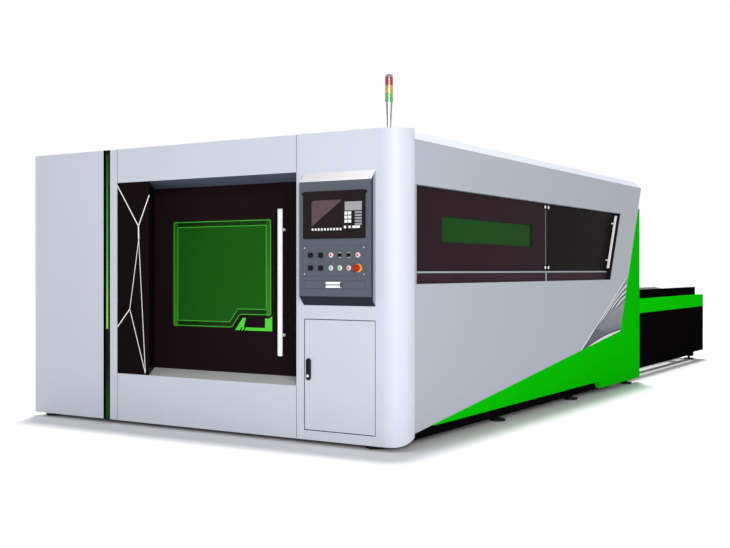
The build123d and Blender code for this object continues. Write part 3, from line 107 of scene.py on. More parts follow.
class PaintSettings(bpy.types.PropertyGroup):
    """Colours of the machine's finishes."""

    front: colour_setting("Front", "Powder coat of the front panels", (0.790, 0.810, 0.856))
    # painted shade: the side colour is the front paint made darker, for the less lit sides
    side: colour_setting("Sides", "Powder coat of the side panels, darkened as painted shade", (0.690, 0.715, 0.750))
    # painted shade: flat tops take this darker colour, so that they don't clip under the overhead light
    flat_top_painted_shade: colour_setting("Roof", "Painted shade of what lies flat on top", (0.600, 0.622, 0.655))
    green: colour_setting("Green", "Gloss paint of the skirts and the table frame", (0.045, 0.800, 0.015))
    dark: colour_setting("Dark panels", "Door, jamb and window leaves", (0.115, 0.075, 0.092))
    black: colour_setting("Black", "Table skirts and base frame", (0.050, 0.040, 0.045))
    frame: colour_setting("Frame", "Inner frame and gantry", (0.620, 0.650, 0.680))
    box: colour_setting("Control box", "Control box and keyboard drawer", (0.335, 0.360, 0.396))
    white: colour_setting("White", "Handles and trim lines", (0.980, 0.980, 0.985))
    view: colour_setting("Windows", "Tinted safety windows", (0.125, 0.385, 0.100))
    accent: colour_setting("Accent", "Bright lines and plate of the door window", (0.330, 0.850, 0.260))
    band: colour_setting("Window band", "Wide band round the door window", (0.215, 0.520, 0.120))
    steel: colour_setting("Bare steel", "Slats, rails and the cutting head", (0.690, 0.700, 0.710))


class TrimSettings(bpy.types.PropertyGroup):
    """Sizes of the trim and small hardware."""

    line_width: length_setting("Trim line", "Width of the light lines on the jamb", 0.008)
    seam_width: length_setting("Seams", "Width of the shadow gaps between front panels", 0.003)
    seam_height: length_setting("Seam height", "How far the dark gap strips stand out of the front", 0.0006)
    line_height: length_setting("Trim height", "How far the lines stand out of the jamb", 0.003)
    window_lap: length_setting("Window lap", "How far the pane reaches behind the door skin", 0.016)
    notch_width: length_setting("Notch", "Width of the notch at the window's lower right", 0.291)
    notch_slope: length_setting("Notch slope", "Run of the slanted side of the notch", 0.077)
    notch_height: length_setting("Notch height", "Height of the notch", 0.100)
    band_width: length_setting("Band", "Width of the green band round the window", 0.048)
    band_height: length_setting("Band height", "How far the band stands out of the pane", 0.0022)
    plate_height: length_setting("Plate", "How far the plate in the notch stands out of the door", 0.0015)
    bright_width: length_setting("Bright line", "Width of the bright lines of the window", 0.006)
    screw_radius: length_setting("Screws", "Radius of the panel screws", 0.005)
    cap_radius: length_setting("Hinge caps", "Radius of the white caps on the leaf hinges", 0.014)
    barrel_radius: length_setting("Lock barrel", "Radius of the chrome barrel in the latch", 0.011)


class StudioSettings(bpy.types.PropertyGroup):
    """Camera, light and floor."""

    lens: number_setting("Lens", "Focal length in mm", 51.91, "CAMERA")
    shift: number_setting("Shift", "Vertical lens shift", -0.0052)
    eye: bpy.props.FloatVectorProperty(
        name="Camera", description="Place of the camera", subtype="XYZ", unit="LENGTH", size=3,
        default=(5.1184, -10.163, 1.193),
    )
    turn: bpy.props.FloatProperty(
        name="Turn", description="Camera turn about the vertical", subtype="ANGLE",
        default=math.radians(31.69),
    )
    ambient: number_setting("Ambient", "Strength of the even light", 0.30)
    overhead: number_setting("Overhead", "Strength of the soft overhead light", 2.6)
    key: number_setting("Key", "Power of the front lamp", 1550.0, "POWER")
    fill: number_setting("Fill", "Power of the rear lamp", 600.0, "POWER")
    floor: colour_setting("Floor", "Colour of the studio floor", (0.97, 0.97, 0.975))


def settings():
    """The three groups of settings of the open scene."""
    scene = bpy.context.scene
    return scene.laser_paint, scene.laser_trim, scene.laser_studio


def linear(colour):
    """A screen colour as the linear values that a shader takes."""
    return tuple(part / 12.92 if part <= 0.04045 else ((part + 0.055) / 1.055) ** 2.4 for part in colour)


# Finishes


class Wire:
    """One socket of a material, with arithmetic that adds Math nodes."""

    def __init__(self, tree, socket=None):
        self.tree = tree
        self.socket = socket

    def node(self, kind, options=None, sockets=None, output=0):
        """Add a node of any kind; options are set first, then values or wires go to its sockets."""
        made = self.tree.nodes.new(kind)
        for name, value in (options or {}).items():
            setattr(made, name, value)
        for name, value in (sockets or {}).items():
            if isinstance(value, Wire):
                self.tree.links.new(value.socket, made.inputs[name])
            else:
                made.inputs[name].default_value = value
        return Wire(self.tree, made.outputs[output])

    def math(self, operation, *others):
        """A Math node on this wire and others."""
        return self.node("ShaderNodeMath", {"operation": operation}, dict(enumerate((self, *others))))

    def __add__(self, other):
        return self.math("ADD", other)

    __radd__ = __add__

    def __sub__(self, other):
        return self.math("SUBTRACT", other)

    def __rsub__(self, other):
        return self.node("ShaderNodeMath", {"operation": "SUBTRACT"}, {0: other, 1: self})

    def __mul__(self, other):
        return self.math("MULTIPLY", other)

    __rmul__ = __mul__

    def __truediv__(self, other):
        return self.math("DIVIDE", other)

    def axis(self, name):
        """One coordinate of a vector wire."""
        return self.node("ShaderNodeSeparateXYZ", None, {0: self}, name)

    def noise(self, scale, detail=3.0, stretch=None):
        """Noise at this place, about 0 to 1, stretched along the axes if asked."""
        place = self
        if stretch:
            place = self.node("ShaderNodeMapping", None, {"Vector": self, "Scale": stretch})
        return place.node("ShaderNodeTexNoise", None, {"Vector": place, "Scale": scale, "Detail": detail})

    def past(self, edge, blur=0.001):
        """0 below an edge and 1 above it, over a short blur; the edge may be a wire."""
        return ((self - edge) / blur + 0.5).held()

    def held(self):
        """This wire held between 0 and 1."""
        return self.node("ShaderNodeClamp", None, {"Value": self})

    def tint(self, first, second):
        """A colour that goes from the first to the second as this wire goes from 0 to 1."""
        # a Mix node's sockets share their names, so they go by number: the factor, two colours and the result
        sockets = {0: self}
        for number, value in {6: first, 7: second}.items():
            sockets[number] = value if isinstance(value, Wire) else (*value, 1.0)
        return self.node("ShaderNodeMix", {"data_type": "RGBA"}, sockets, 2)


def begin(name):
    """A new material, its shader and the place of a surface point."""
    material = bpy.data.materials.new(name)
    material.use_nodes = True
    tree = material.node_tree
    shader = tree.nodes["Principled BSDF"]
    place = Wire(tree).node("ShaderNodeTexCoord", output="Object")
    return material, shader, place


def in_view(tree):
    """1 for rays that the camera sees, straight or in a reflection, and 0 for light that bounces."""
    seen, glossy, through = (
        Wire(tree).node("ShaderNodeLightPath", output=ray)
        for ray in ("Is Camera Ray", "Is Glossy Ray", "Is Transmission Ray")
    )
    return seen.math("MAXIMUM", glossy).math("MAXIMUM", through)


def feed(shader, **sockets):
    """Set or link the shader's sockets, named in lower case with underscores."""
    for name, value in sockets.items():
        target = shader.inputs[name.replace("_", " ").title().replace("Ior", "IOR")]
        if isinstance(value, Wire):
            value.tree.links.new(value.socket, target)
        elif isinstance(target.default_value, float):
            target.default_value = value
        else:
            target.default_value = (*value, 1.0)


def shade(colour, share):
    """A colour made lighter or darker by a share."""
    return tuple(min(1.0, part * share) for part in colour)


def bumped(place, height, strength, distance):
    """A normal from a height wire."""
    return place.node(
        "ShaderNodeBump", None, {"Height": height, "Strength": strength, "Distance": distance}, "Normal"
    )


def coated(place, colour, spread=0.04, soil=0.10):
    """Paint colour with slow clouds, and soil that gathers near the floor."""
    cloud = place.noise(1.1, 4.0)
    even = cloud.tint(shade(colour, 1.0 - spread), shade(colour, 1.0 + spread))
    low = 1.0 - place.axis("Z").past(0.16, 0.5)
    speck = place.noise(9.0, 6.0).past(0.5, 0.5)
    return (low * speck * soil).tint(even, shade(colour, 0.35)), cloud


def powder_coat(name, colour, rough=0.42, peel=0.05, shine=0.25, patches=()):
    """Powder-coated steel: fine orange peel, slow clouds and a little soil; masks may bring other colours."""
    material, shader, place = begin(name)
    tone, cloud = coated(place, linear(colour))
    for mask, other in patches:
        tone = mask(place).tint(tone, linear(other))
    grain = place.noise(420.0, 2.0)
    feed(
        shader, base_color=tone, roughness=cloud * 0.14 + (rough - 0.07), specular_ior_level=shine,
        normal=bumped(place, grain, peel, 0.0006),
    )
    return material


def facing(place, axis):
    """How far a face looks along an axis, from -1 to 1."""
    return place.node("ShaderNodeTexCoord", output="Normal").axis(axis)


def under_mask(place):
    """1 on faces that look down."""
    return (0.0 - facing(place, "Z")).past(0.4, 0.1)


def top_mask(place):
    """1 on faces that look up."""
    return facing(place, "Z").past(0.4, 0.1)


def flat_mask(place):
    """1 on faces that lie flat, looking straight up."""
    return facing(place, "Z").past(0.95, 0.04)


def front_mask(place):
    """1 on faces that look forward."""
    return (0.0 - facing(place, "Y")).past(0.4, 0.1)


def gloss_paint(name, colour, rough=0.26):
    """Gloss enamel on sheet steel, with faint brush-free waviness."""
    material, shader, place = begin(name)
    tone, cloud = coated(place, linear(colour), 0.03, 0.16)
    wave = place.noise(14.0, 2.0)
    feed(
        shader, base_color=tone, roughness=cloud * 0.12 + (rough - 0.06), specular_ior_level=0.0,
        normal=bumped(place, wave, 0.03, 0.002),
    )
    return material


def dark_sheet(name, colour, rough=0.30):
    """Dark satin panels that look nearly black, with a slow drift of warmth and faint wipe marks."""
    material, shader, place = begin(name)
    base = linear(colour)
    drift = place.noise(0.55, 2.0)
    warm = drift.tint(shade(base, 0.72), shade(base, 1.30))
    wipe = place.noise(5.0, 5.0, (0.6, 0.6, 3.0))
    feed(
        shader, base_color=warm, roughness=wipe * 0.16 + (rough - 0.08), specular_ior_level=0.006,
        normal=bumped(place, place.noise(300.0, 2.0), 0.03, 0.0005),
    )
    return material


def tinted_window_with_painted_reflection(name, colour):
    """Tinted safety glazing, a little see-through, with a painted reflection that makes it lighter towards
    the lower right.
    """
    material, shader, place = begin(name)
    base = linear(colour)
    # painted reflection: lighter to the right and lower down, darker towards the upper left
    drift = (place.axis("X") * 0.35 - place.axis("Z") * 0.25 + 0.45).held()
    film = place.noise(2.2, 3.0)
    tone = (drift * 0.8 + film * 0.2).tint(shade(base, 0.75), shade(base, 1.35))
    feed(
        shader, base_color=tone, roughness=film * 0.10 + 0.08, alpha=0.95, specular_ior_level=0.01,
        normal=bumped(place, film, 0.02, 0.002),
    )
    return material


def window_band(name, colour):
    """Band round the door window, with a painted reflection: its upright sides lighter, most of all low down,
    and the rest dark.
    """
    material, shader, place = begin(name)
    base = linear(colour)
    middle = (PANE_LOW + PANE_HIGH) / 2
    trim = settings()[1]
    reach = (PANE_HIGH.x - PANE_LOW.x) / 2 - trim.window_lap - trim.band_width
    # painted reflection: the upright sides are lighter, most of all low down; the rest of the band is dark
    upright = (place.axis("X") - middle.x).math("ABSOLUTE").past(reach, 0.006)
    rise = ((place.axis("Z") - PANE_LOW.z) / (PANE_HIGH.z - PANE_LOW.z)).held()
    lit = rise.tint(base, shade(base, 0.42))
    speck = place.noise(40.0, 3.0)
    feed(
        shader, base_color=(upright * (speck * 0.2 + 0.9)).tint(shade(base, 0.13), lit),
        roughness=speck * 0.12 + 0.22, specular_ior_level=0.08, normal=bumped(place, speck, 0.03, 0.001),
    )
    return material


def bare_steel(name, colour, rough=0.34, lay=(1.0, 40.0, 40.0)):
    """Ground steel with a lay of fine scratches and patches of oxide."""
    material, shader, place = begin(name)
    base = linear(colour)
    scratch = place.noise(30.0, 4.0, lay)
    patch = place.noise(4.0, 5.0).past(0.58, 0.25)
    tone = patch.tint(base, shade(base, 0.62))
    feed(
        shader, base_color=tone, metallic=1.0, roughness=scratch * 0.22 + patch * 0.12 + (rough - 0.11),
        normal=bumped(place, scratch, 0.08, 0.0006),
    )
    return material


def bright_metal(name, colour, rough=0.10):
    """Plated metal with a light haze of handling marks."""
    material, shader, place = begin(name)
    haze = place.noise(60.0, 4.0)
    feed(
        shader, base_color=haze.tint(shade(linear(colour), 0.9), linear(colour)), metallic=1.0,
        roughness=haze * 0.16 + rough, normal=bumped(place, haze, 0.02, 0.0003),
    )
    return material


def moulded(name, colour, rough=0.35, grain=260.0, glow=0.0, shine=0.12):
    """Moulded plastic with a fine spark-eroded grain; lamps may glow a little."""
    material, shader, place = begin(name)
    base = linear(colour)
    speck = place.noise(grain, 3.0)
    tone = speck.tint(shade(base, 0.92), shade(base, 1.08))
    feed(
        shader, base_color=tone, roughness=speck * 0.14 + (rough - 0.07), specular_ior_level=shine,
        normal=bumped(place, speck, 0.05, 0.0004),
    )
    if glow:
        feed(shader, emission_color=tone, emission_strength=glow)
    return material


def light_strip(name):
    """Light strip between black lips: dark green at the foot, an unlit stretch, then lit green above."""
    material, shader, place = begin(name)
    low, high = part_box("led_diffuser")
    across = (place.axis("X") - low.x) / (high.x - low.x)
    rise = (place.axis("Z") - low.z) / (high.z - low.z)
    black = linear((0.03, 0.03, 0.03))
    foot = linear((0.02, 0.27, 0.07))
    lit_low = linear((0.64, 0.93, 0.27))
    lit_mid = linear((0.26, 0.74, 0.34))
    lit_high = linear((0.10, 0.38, 0.13))
    lit = ((rise - 0.34) / 0.26).held().tint(lit_low, ((rise - 0.60) / 0.36).held().tint(lit_mid, lit_high))
    unlit = ((rise - 0.03) / 0.17).held().tint(foot, black)
    lens = across.past(0.22, 0.12) * (1.0 - across.past(0.74, 0.12))
    tone = (rise.past(0.335, 0.004) * (1.0 - rise.past(0.985, 0.004))).tint(unlit, lens.tint(black, lit))
    ribs = (place.axis("Z") * 700.0).math("SINE") * 0.04 + 0.96
    feed(
        shader, base_color=black, roughness=ribs * 0.3 + 0.1, specular_ior_level=0.05,
        emission_color=ribs.tint(black, tone), emission_strength=0.9,
    )
    return material


def striped_side(name, colour):
    """Side panel paint with a printed fan of curved stripes, like a turned page, at its rear lower corner."""
    material, shader, place = begin(name)
    tone, cloud = coated(place, linear(colour))
    slate, navy = linear((0.23, 0.25, 0.29)), linear((0.10, 0.11, 0.16))
    white = linear((0.92, 0.93, 0.96))
    height = place.axis("Z") - FLOOR_GAP
    run = ((place.axis("Y") - FRONT_Y - FAN_START) / FAN_LENGTH).held()
    belly = run * 0.321 - run * run * 0.1665 + FAN_FOOT
    below = run * 0.668 + FAN_FOOT - height
    page = ((height - 0.57) / 0.40).held().tint(linear((0.40, 0.42, 0.46)), linear((0.63, 0.62, 0.66)))
    page = (0.55 - (height - belly) / 0.13).held().tint(page, slate)
    page = (0.656 - run * 0.176 - height).past(0.0, 0.012).tint(page, slate)
    for offset, growth, bend, start in FAN_STRIPES:
        late = (run - bend).math("MAXIMUM", 0.0)
        away = below - late * late * growth - offset
        shown = run.past(start, 0.08)
        gap = (1.0 - (away + 0.019).math("ABSOLUTE").past(0.009, 0.006)) * shown
        line = (1.0 - away.math("ABSOLUTE").past(0.009, 0.006)) * shown
        page = line.tint(gap.tint(page, white), navy)
    page = (belly - height).past(-0.009, 0.004).tint(page, navy)
    page = (belly - height).past(0.009, 0.004).tint(page, white)
    inside = below.past(-0.004, 0.004) * run.past(0.002, 0.002)
    rim = below.past(-0.020, 0.006) * run.past(0.002, 0.002)
    grain = place.noise(420.0, 2.0)
    feed(
        shader, base_color=inside.tint(rim.tint(tone, white), page), roughness=cloud * 0.14 + 0.35,
        specular_ior_level=0.25, normal=bumped(place, grain, 0.05, 0.0006),
    )
    return material


def screen_with_painted_reflection(name):
    """Switched-off display: black glass with a paler slanted field, a painted reflection."""
    material, shader, place = begin(name)
    across = (place.axis("X") - BEZEL_LOW.x) / (BEZEL_HIGH.x - BEZEL_LOW.x)
    rise = (place.axis("Z") - BEZEL_LOW.z) / (BEZEL_HIGH.z - BEZEL_LOW.z)
    # painted reflection: a paler slanted field across the black glass
    field = (rise - across * 1.1 + 0.05).past(0.15, 0.01) * (1.05 - rise + across).past(0.42, 0.02)
    haze = place.noise(12.0, 3.0)
    tone = (field * (haze * 0.3 + 0.7)).tint(linear((0.13, 0.09, 0.105)), linear((0.38, 0.30, 0.33)))
    feed(shader, base_color=tone, roughness=haze * 0.06 + 0.08, specular_ior_level=0.08)
    return material


def pull_mask(place):
    """1 on the two pale bars of the drawer's pull, which stands out of the control box."""
    low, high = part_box("keyboard_drawer")
    middle = (place.axis("Z") - (low.z + high.z) / 2).math("ABSOLUTE")
    return (BOX_LOW.y - 0.0005 - place.axis("Y")).past(0.0, 0.0004) * middle.past(0.0035, 0.0010)


def button_reach(place, node):
    """Distance from the middle of a button on the control box."""
    low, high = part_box(node)
    across = place.axis("X") - (low.x + high.x) / 2
    rise = place.axis("Z") - (low.z + high.z) / 2
    return (across * across + rise * rise).math("SQRT")


def stop_mask(place):
    """1 on the collar of the emergency stop."""
    return 1.0 - button_reach(place, "estop_button").past(0.033, 0.001)


def hood_paint_and_painted_light(name, colour, white):
    """Control box paint, with a painted highlight on the top bevel and painted shade on the bevels below and
    to the right.
    """
    material, shader, place = begin(name)
    up, across = facing(place, "Z"), facing(place, "X").past(0.3, 0.1)
    # painted highlight on the top bevel, painted shade on the bevels below and to the right
    top = up.past(0.3, 0.1)
    dark = (0.0 - up).past(0.3, 0.1).math("MAXIMUM", across)
    rim = across * up.past(-0.3, 0.1)
    tone, cloud = coated(place, linear(colour))
    # the painted highlight runs from light grey on the left to white on the right
    along = ((place.axis("X") - BOX_LOW.x) / (BOX_HIGH.x - BOX_LOW.x)).held()
    pale = along.tint(shade(linear(white), 0.80), linear(white))
    navy = linear((0.105, 0.120, 0.165))
    # on the right bevel the painted shade is dark navy next to the face and a lighter grey-blue further back
    edge = (rim * place.axis("Y").past(BOX_LOW.y + 0.024, 0.010)).tint(navy, linear((0.56, 0.59, 0.64)))
    grain = place.noise(420.0, 2.0)
    feed(
        shader, base_color=dark.tint(top.tint(tone, pale), edge),
        roughness=cloud * 0.14 + 0.32, specular_ior_level=0.18, normal=bumped(place, grain, 0.05, 0.0006),
    )
    return material


def ring_finish(name):
    """Chrome button rings, with a yellow collar at the emergency stop."""
    material, shader, place = begin(name)
    yellow = stop_mask(place)
    haze = place.noise(90.0, 3.0)
    chrome = haze.tint((0.62, 0.62, 0.64), (0.80, 0.80, 0.82))
    feed(
        shader, base_color=yellow.tint(chrome, linear((0.95, 0.64, 0.16))), metallic=1.0 - yellow,
        roughness=haze * 0.15 + yellow * 0.2 + 0.1, normal=bumped(place, haze, 0.02, 0.0003),
    )
    return material


def cap_finish(node, colour):
    """Push button: a pale rim round a coloured heart, seen through a clear lens."""
    material, shader, place = begin(node + "_cap")
    base = linear(colour)
    haze = place.noise(160.0, 3.0)
    pale = tuple(0.25 * part + 0.62 for part in base)
    tone = button_reach(place, node).past(0.0085, 0.002).tint(haze.tint(shade(base, 0.85), base), pale)
    feed(
        shader, base_color=tone, roughness=haze * 0.1 + 0.15, emission_color=tone, emission_strength=0.08,
        normal=bumped(place, haze, 0.03, 0.0003),
    )
    return material


def key_finish(name, white):
    """Keypad: white keys, with a grey readout and grey wide keys on the right."""
    material, shader, place = begin(name)
    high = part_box("keypad_keys")[1]
    readout = place.axis("Z").past(high.z - 0.0595, 0.001)
    wide = place.axis("X").past(high.x - 0.056, 0.001) * place.axis("Z").past(high.z - 0.157, 0.001)
    grey = readout.math("MAXIMUM", wide)
    speck = place.noise(300.0, 2.0)
    tone = grey.tint(speck.tint(shade(linear(white), 0.94), linear(white)), linear((0.60, 0.60, 0.62)))
    feed(shader, base_color=tone, roughness=speck * 0.2 + 0.3, normal=bumped(place, speck, 0.04, 0.0003))
    return material


def handle_finish(name, colour):
    """White enamel bars with a few rubbed spots."""
    material, shader, place = begin(name)
    rub = place.noise(24.0, 5.0, (1.0, 1.0, 0.3)).past(0.62, 0.12)
    base = linear(colour)
    feed(
        shader, base_color=(rub * 0.35).tint(base, shade(base, 0.72)), roughness=rub * 0.2 + 0.22,
        normal=bumped(place, place.noise(200.0, 2.0), 0.02, 0.0004),
    )
    return material


def paint_nodes(finish, *nodes):
    """Give nodes of the frame a finish."""
    for node in nodes:
        slots = frame["nodes"][node].data.materials
        slots.clear()
        slots.append(finish)


# Modelling steps


def deselect_all():
    """Leave edit mode and drop the selection."""
    if bpy.context.object and bpy.context.object.mode == "EDIT":
        bpy.ops.object.mode_set(mode="OBJECT")
    bpy.ops.object.select_all(action="DESELECT")


def settle(name):
    """Name the active piece and put its place into its mesh."""
    piece = bpy.context.object
    piece.name = name
    piece.data.name = name
    bpy.ops.object.transform_apply(location=True, rotation=True, scale=True)
    return piece


def bar(name, low, high, ease, turn=0.0):
    """A straight bar between two corners with eased edges, turned about the Y axis through its middle."""
    low, high = Vector(low), Vector(high)
    deselect_all()
    bpy.ops.mesh.primitive_cube_add(
        size=1.0, location=(low + high) / 2, rotation=(0.0, turn, 0.0), scale=high - low
    )
    piece = settle(name)
    bpy.ops.object.mode_set(mode="EDIT")
    bpy.ops.mesh.select_all(action="SELECT")
    bpy.ops.mesh.bevel(offset=ease, segments=2, affect="EDGES")
    bpy.ops.object.mode_set(mode="OBJECT")
    return piece


def disc(name, middle, side, radius, height, vertices=24):
    """A low round cap with a domed rim, on the front, towards -Y, or on the right, towards +X."""
    turns = {"front": (math.radians(90.0), 0.0, 0.0), "right": (0.0, math.radians(90.0), 0.0)}
    deselect_all()
    bpy.ops.mesh.primitive_cylinder_add(
        vertices=vertices, radius=radius, depth=height, location=middle, rotation=turns[side]
    )
    piece = settle(name)
    bpy.ops.object.mode_set(mode="EDIT")
    bpy.ops.mesh.select_all(action="SELECT")
    bpy.ops.mesh.bevel(offset=height * 0.35, segments=2, affect="EDGES")
    bpy.ops.object.mode_set(mode="OBJECT")
    return piece


def copied(piece, steps):
    """A piece and copies of it, each with its own mesh and moved on by a step."""
    pieces = [piece]
    for step in steps:
        deselect_all()
        piece.select_set(True)
        bpy.context.view_layer.objects.active = piece
        bpy.ops.object.duplicate()
        bpy.ops.transform.translate(value=step)
        pieces.append(settle(piece.name))
    return pieces


def joined(name, pieces):
    """Several meshes as one piece."""
    deselect_all()
    for piece in pieces:
        piece.select_set(True)
    bpy.context.view_layer.objects.active = pieces[0]
    bpy.ops.object.join()
    return settle(name)


def flat_face(name, corners):
    """A face in the plane of the given corners: a filled circle whose points are moved to them."""
    deselect_all()
    bpy.ops.mesh.primitive_circle_add(vertices=len(corners), radius=1.0, fill_type="NGON")
    piece = settle(name)
    bpy.ops.object.mode_set(mode="EDIT")
    bpy.ops.mesh.select_mode(type="VERT")
    bpy.ops.mesh.select_all(action="DESELECT")
    bpy.ops.object.mode_set(mode="OBJECT")
    for index, corner in enumerate(corners):
        for vertex in piece.data.vertices:
            vertex.select = vertex.index == index
        step = Vector(corner) - piece.data.vertices[index].co
        bpy.ops.object.mode_set(mode="EDIT")
        bpy.ops.transform.translate(value=step)
        bpy.ops.object.mode_set(mode="OBJECT")
    return piece


def raise_face(piece, step):
    """Give a flat piece its thickness, and turn all its faces outwards."""
    bpy.ops.object.mode_set(mode="EDIT")
    bpy.ops.mesh.select_all(action="SELECT")
    bpy.ops.mesh.extrude_region_move(TRANSFORM_OT_translate={"value": step})
    bpy.ops.mesh.select_all(action="SELECT")
    bpy.ops.mesh.normals_make_consistent(inside=False)
    bpy.ops.object.mode_set(mode="OBJECT")
    return piece


def band(name, corners, corner_round, width, height):
    """A band along the inside of an outline that stands out towards -Y; its corners may be rounded."""
    piece = flat_face(name, corners)
    bpy.ops.object.mode_set(mode="EDIT")
    bpy.ops.mesh.select_all(action="SELECT")
    if corner_round:
        bpy.ops.mesh.bevel(offset=corner_round, segments=5, affect="VERTICES")
    bpy.ops.mesh.select_mode(type="FACE")
    bpy.ops.mesh.select_all(action="SELECT")
    bpy.ops.mesh.inset(thickness=width)
    bpy.ops.mesh.delete(type="FACE")
    bpy.ops.object.mode_set(mode="OBJECT")
    return raise_face(piece, (0.0, -height, 0.0))


def dress(piece, finish, body):
    """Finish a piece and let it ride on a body."""
    piece.data.materials.clear()
    piece.data.materials.append(finish)
    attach(piece, body)
    return piece


def window_corners(inset, y):
    """Corners of the door window's opening, moved in by an inset, in a plane across Y."""
    trim = settings()[1]
    left, right = PANE_LOW.x + trim.window_lap + inset, PANE_HIGH.x - trim.window_lap - inset
    low, high = PANE_LOW.z + trim.window_lap + inset, PANE_HIGH.z - trim.window_lap - inset
    slope = math.hypot(trim.notch_slope, trim.notch_height)
    step = PANE_HIGH.x - trim.window_lap - trim.notch_width
    step -= inset * (slope - trim.notch_slope) / trim.notch_height
    plan = [
        (left, low), (step - trim.notch_slope, low), (step, low + trim.notch_height),
        (right, low + trim.notch_height), (right, high), (left, high),
    ]
    return [(x, y, z) for x, z in plan]


def front_corners(node, reach):
    """Corners of the part of a node that lies in the front plane, moved out by a reach."""
    piece = frame["nodes"][node]
    spots = [piece.matrix_world @ vertex.co for vertex in piece.data.vertices]
    flush = [spot for spot in spots if spot.y < FRONT_Y + SLACK]
    left, right = min(spot.x for spot in flush) - reach, max(spot.x for spot in flush) + reach
    foot, top = min(spot.z for spot in flush) - reach, max(spot.z for spot in flush) + reach
    return [(left, FRONT_Y, foot), (right, FRONT_Y, foot), (right, FRONT_Y, top), (left, FRONT_Y, top)]


# Operators


class LASER_OT_panels(bpy.types.Operator):
    """Paint the sheet panels, frames and table"""

    bl_idname = "laser_cell.panels"
    bl_label = "Panels"

    def execute(self, context):
        paint = settings()[0]
        # painted shade: the flat tops of the front panels, the roof and the lintel take the darker flat-top
        # colour
        flat_top_painted_shade = (flat_mask, paint.flat_top_painted_shade)
        front = powder_coat("front_coat_and_painted_shade", paint.front, patches=[flat_top_painted_shade])
        paint_nodes(front, "left_bay_panel", "portal_pillar", "control_column", "cabinet_door")
        # painted light: the sill on top of the apron is whitened as if lit
        apron = powder_coat("apron_coat_and_painted_light", paint.front, patches=[(top_mask, paint.white)])
        paint_nodes(apron, "portal_apron")
        # painted light: the roof panel takes a lighter copy of the front paint, and its flat top the painted
        # shade
        cover = powder_coat("roof_coat_painted_light_and_shade", shade(paint.front, 1.07), 0.6, shine=0.05, patches=[flat_top_painted_shade])
        paint_nodes(cover, "roof_panel")
        # painted shade: the underside of the lintel takes a darker slate colour
        under = (under_mask, (0.42, 0.46, 0.53))
        paint_nodes(powder_coat("lintel_coat_and_painted_shade", paint.front, patches=[flat_top_painted_shade, under]), "portal_lintel")
        # painted shade: the side panels take the darker side colour
        side = powder_coat("side_coat_and_painted_shade", paint.side)
        paint_nodes(side, "side_header_panel", "left_side_panel", "rear_portal")
        # painted shade: the forward-facing reveal of the end panel is dark
        end = powder_coat("end_coat_and_painted_shade", paint.side, patches=[(front_mask, paint.dark)])
        paint_nodes(end, "side_end_panel")
        paint_nodes(striped_side("striped_side_panel", paint.side), "side_lower_panel")
        paint_nodes(gloss_paint("green_enamel", paint.green), "right_skirt", "left_skirt")
        # painted light: the table frame takes a lighter copy of the green
        paint_nodes(gloss_paint("table_enamel_painted_light", shade(paint.green, 1.10)), "table_frame")
        paint_nodes(dark_sheet("dark_door_sheet", paint.dark), "door_panel")
        # the same dark sheet is painted lighter or darker at each place, as painted light and shade
        painted_light_shares = {"portal_jamb": 0.75, "front_leaf": 1.45, "rear_leaf": 0.55, "fixed_glazing": 2.0}
        for node, share in painted_light_shares.items():
            paint_nodes(dark_sheet(node + "_sheet", shade(paint.dark, share)), node)
        black = powder_coat("black_powder_coat", paint.black, 0.55, shine=0.0)
        paint_nodes(black, "base_frame", "table_base", "lift_platform", "led_channel", "cross_carriage")
        frame_coat = powder_coat("frame_powder_coat", paint.frame)
        paint_nodes(frame_coat, "enclosure_frame", "door_track", "cabinet_box", "gantry_beam")
        return {"FINISHED"}


class LASER_OT_windows(bpy.types.Operator):
    """Tint the windows and light the strip beside the door"""

    bl_idname = "laser_cell.windows"
    bl_label = "Windows and light strip"

    def execute(self, context):
        paint = settings()[0]
        paint_nodes(tinted_window_with_painted_reflection("door_window_tint_and_painted_reflection", paint.view), "door_window")
        # painted shade: the leaf window takes a darker copy of the tint, for the side
        paint_nodes(tinted_window_with_painted_reflection("leaf_window_tint_painted_reflection_and_shade", shade(paint.view, 0.72)), "leaf_window")
        paint_nodes(light_strip("light_strip"), "led_diffuser")
        return {"FINISHED"}


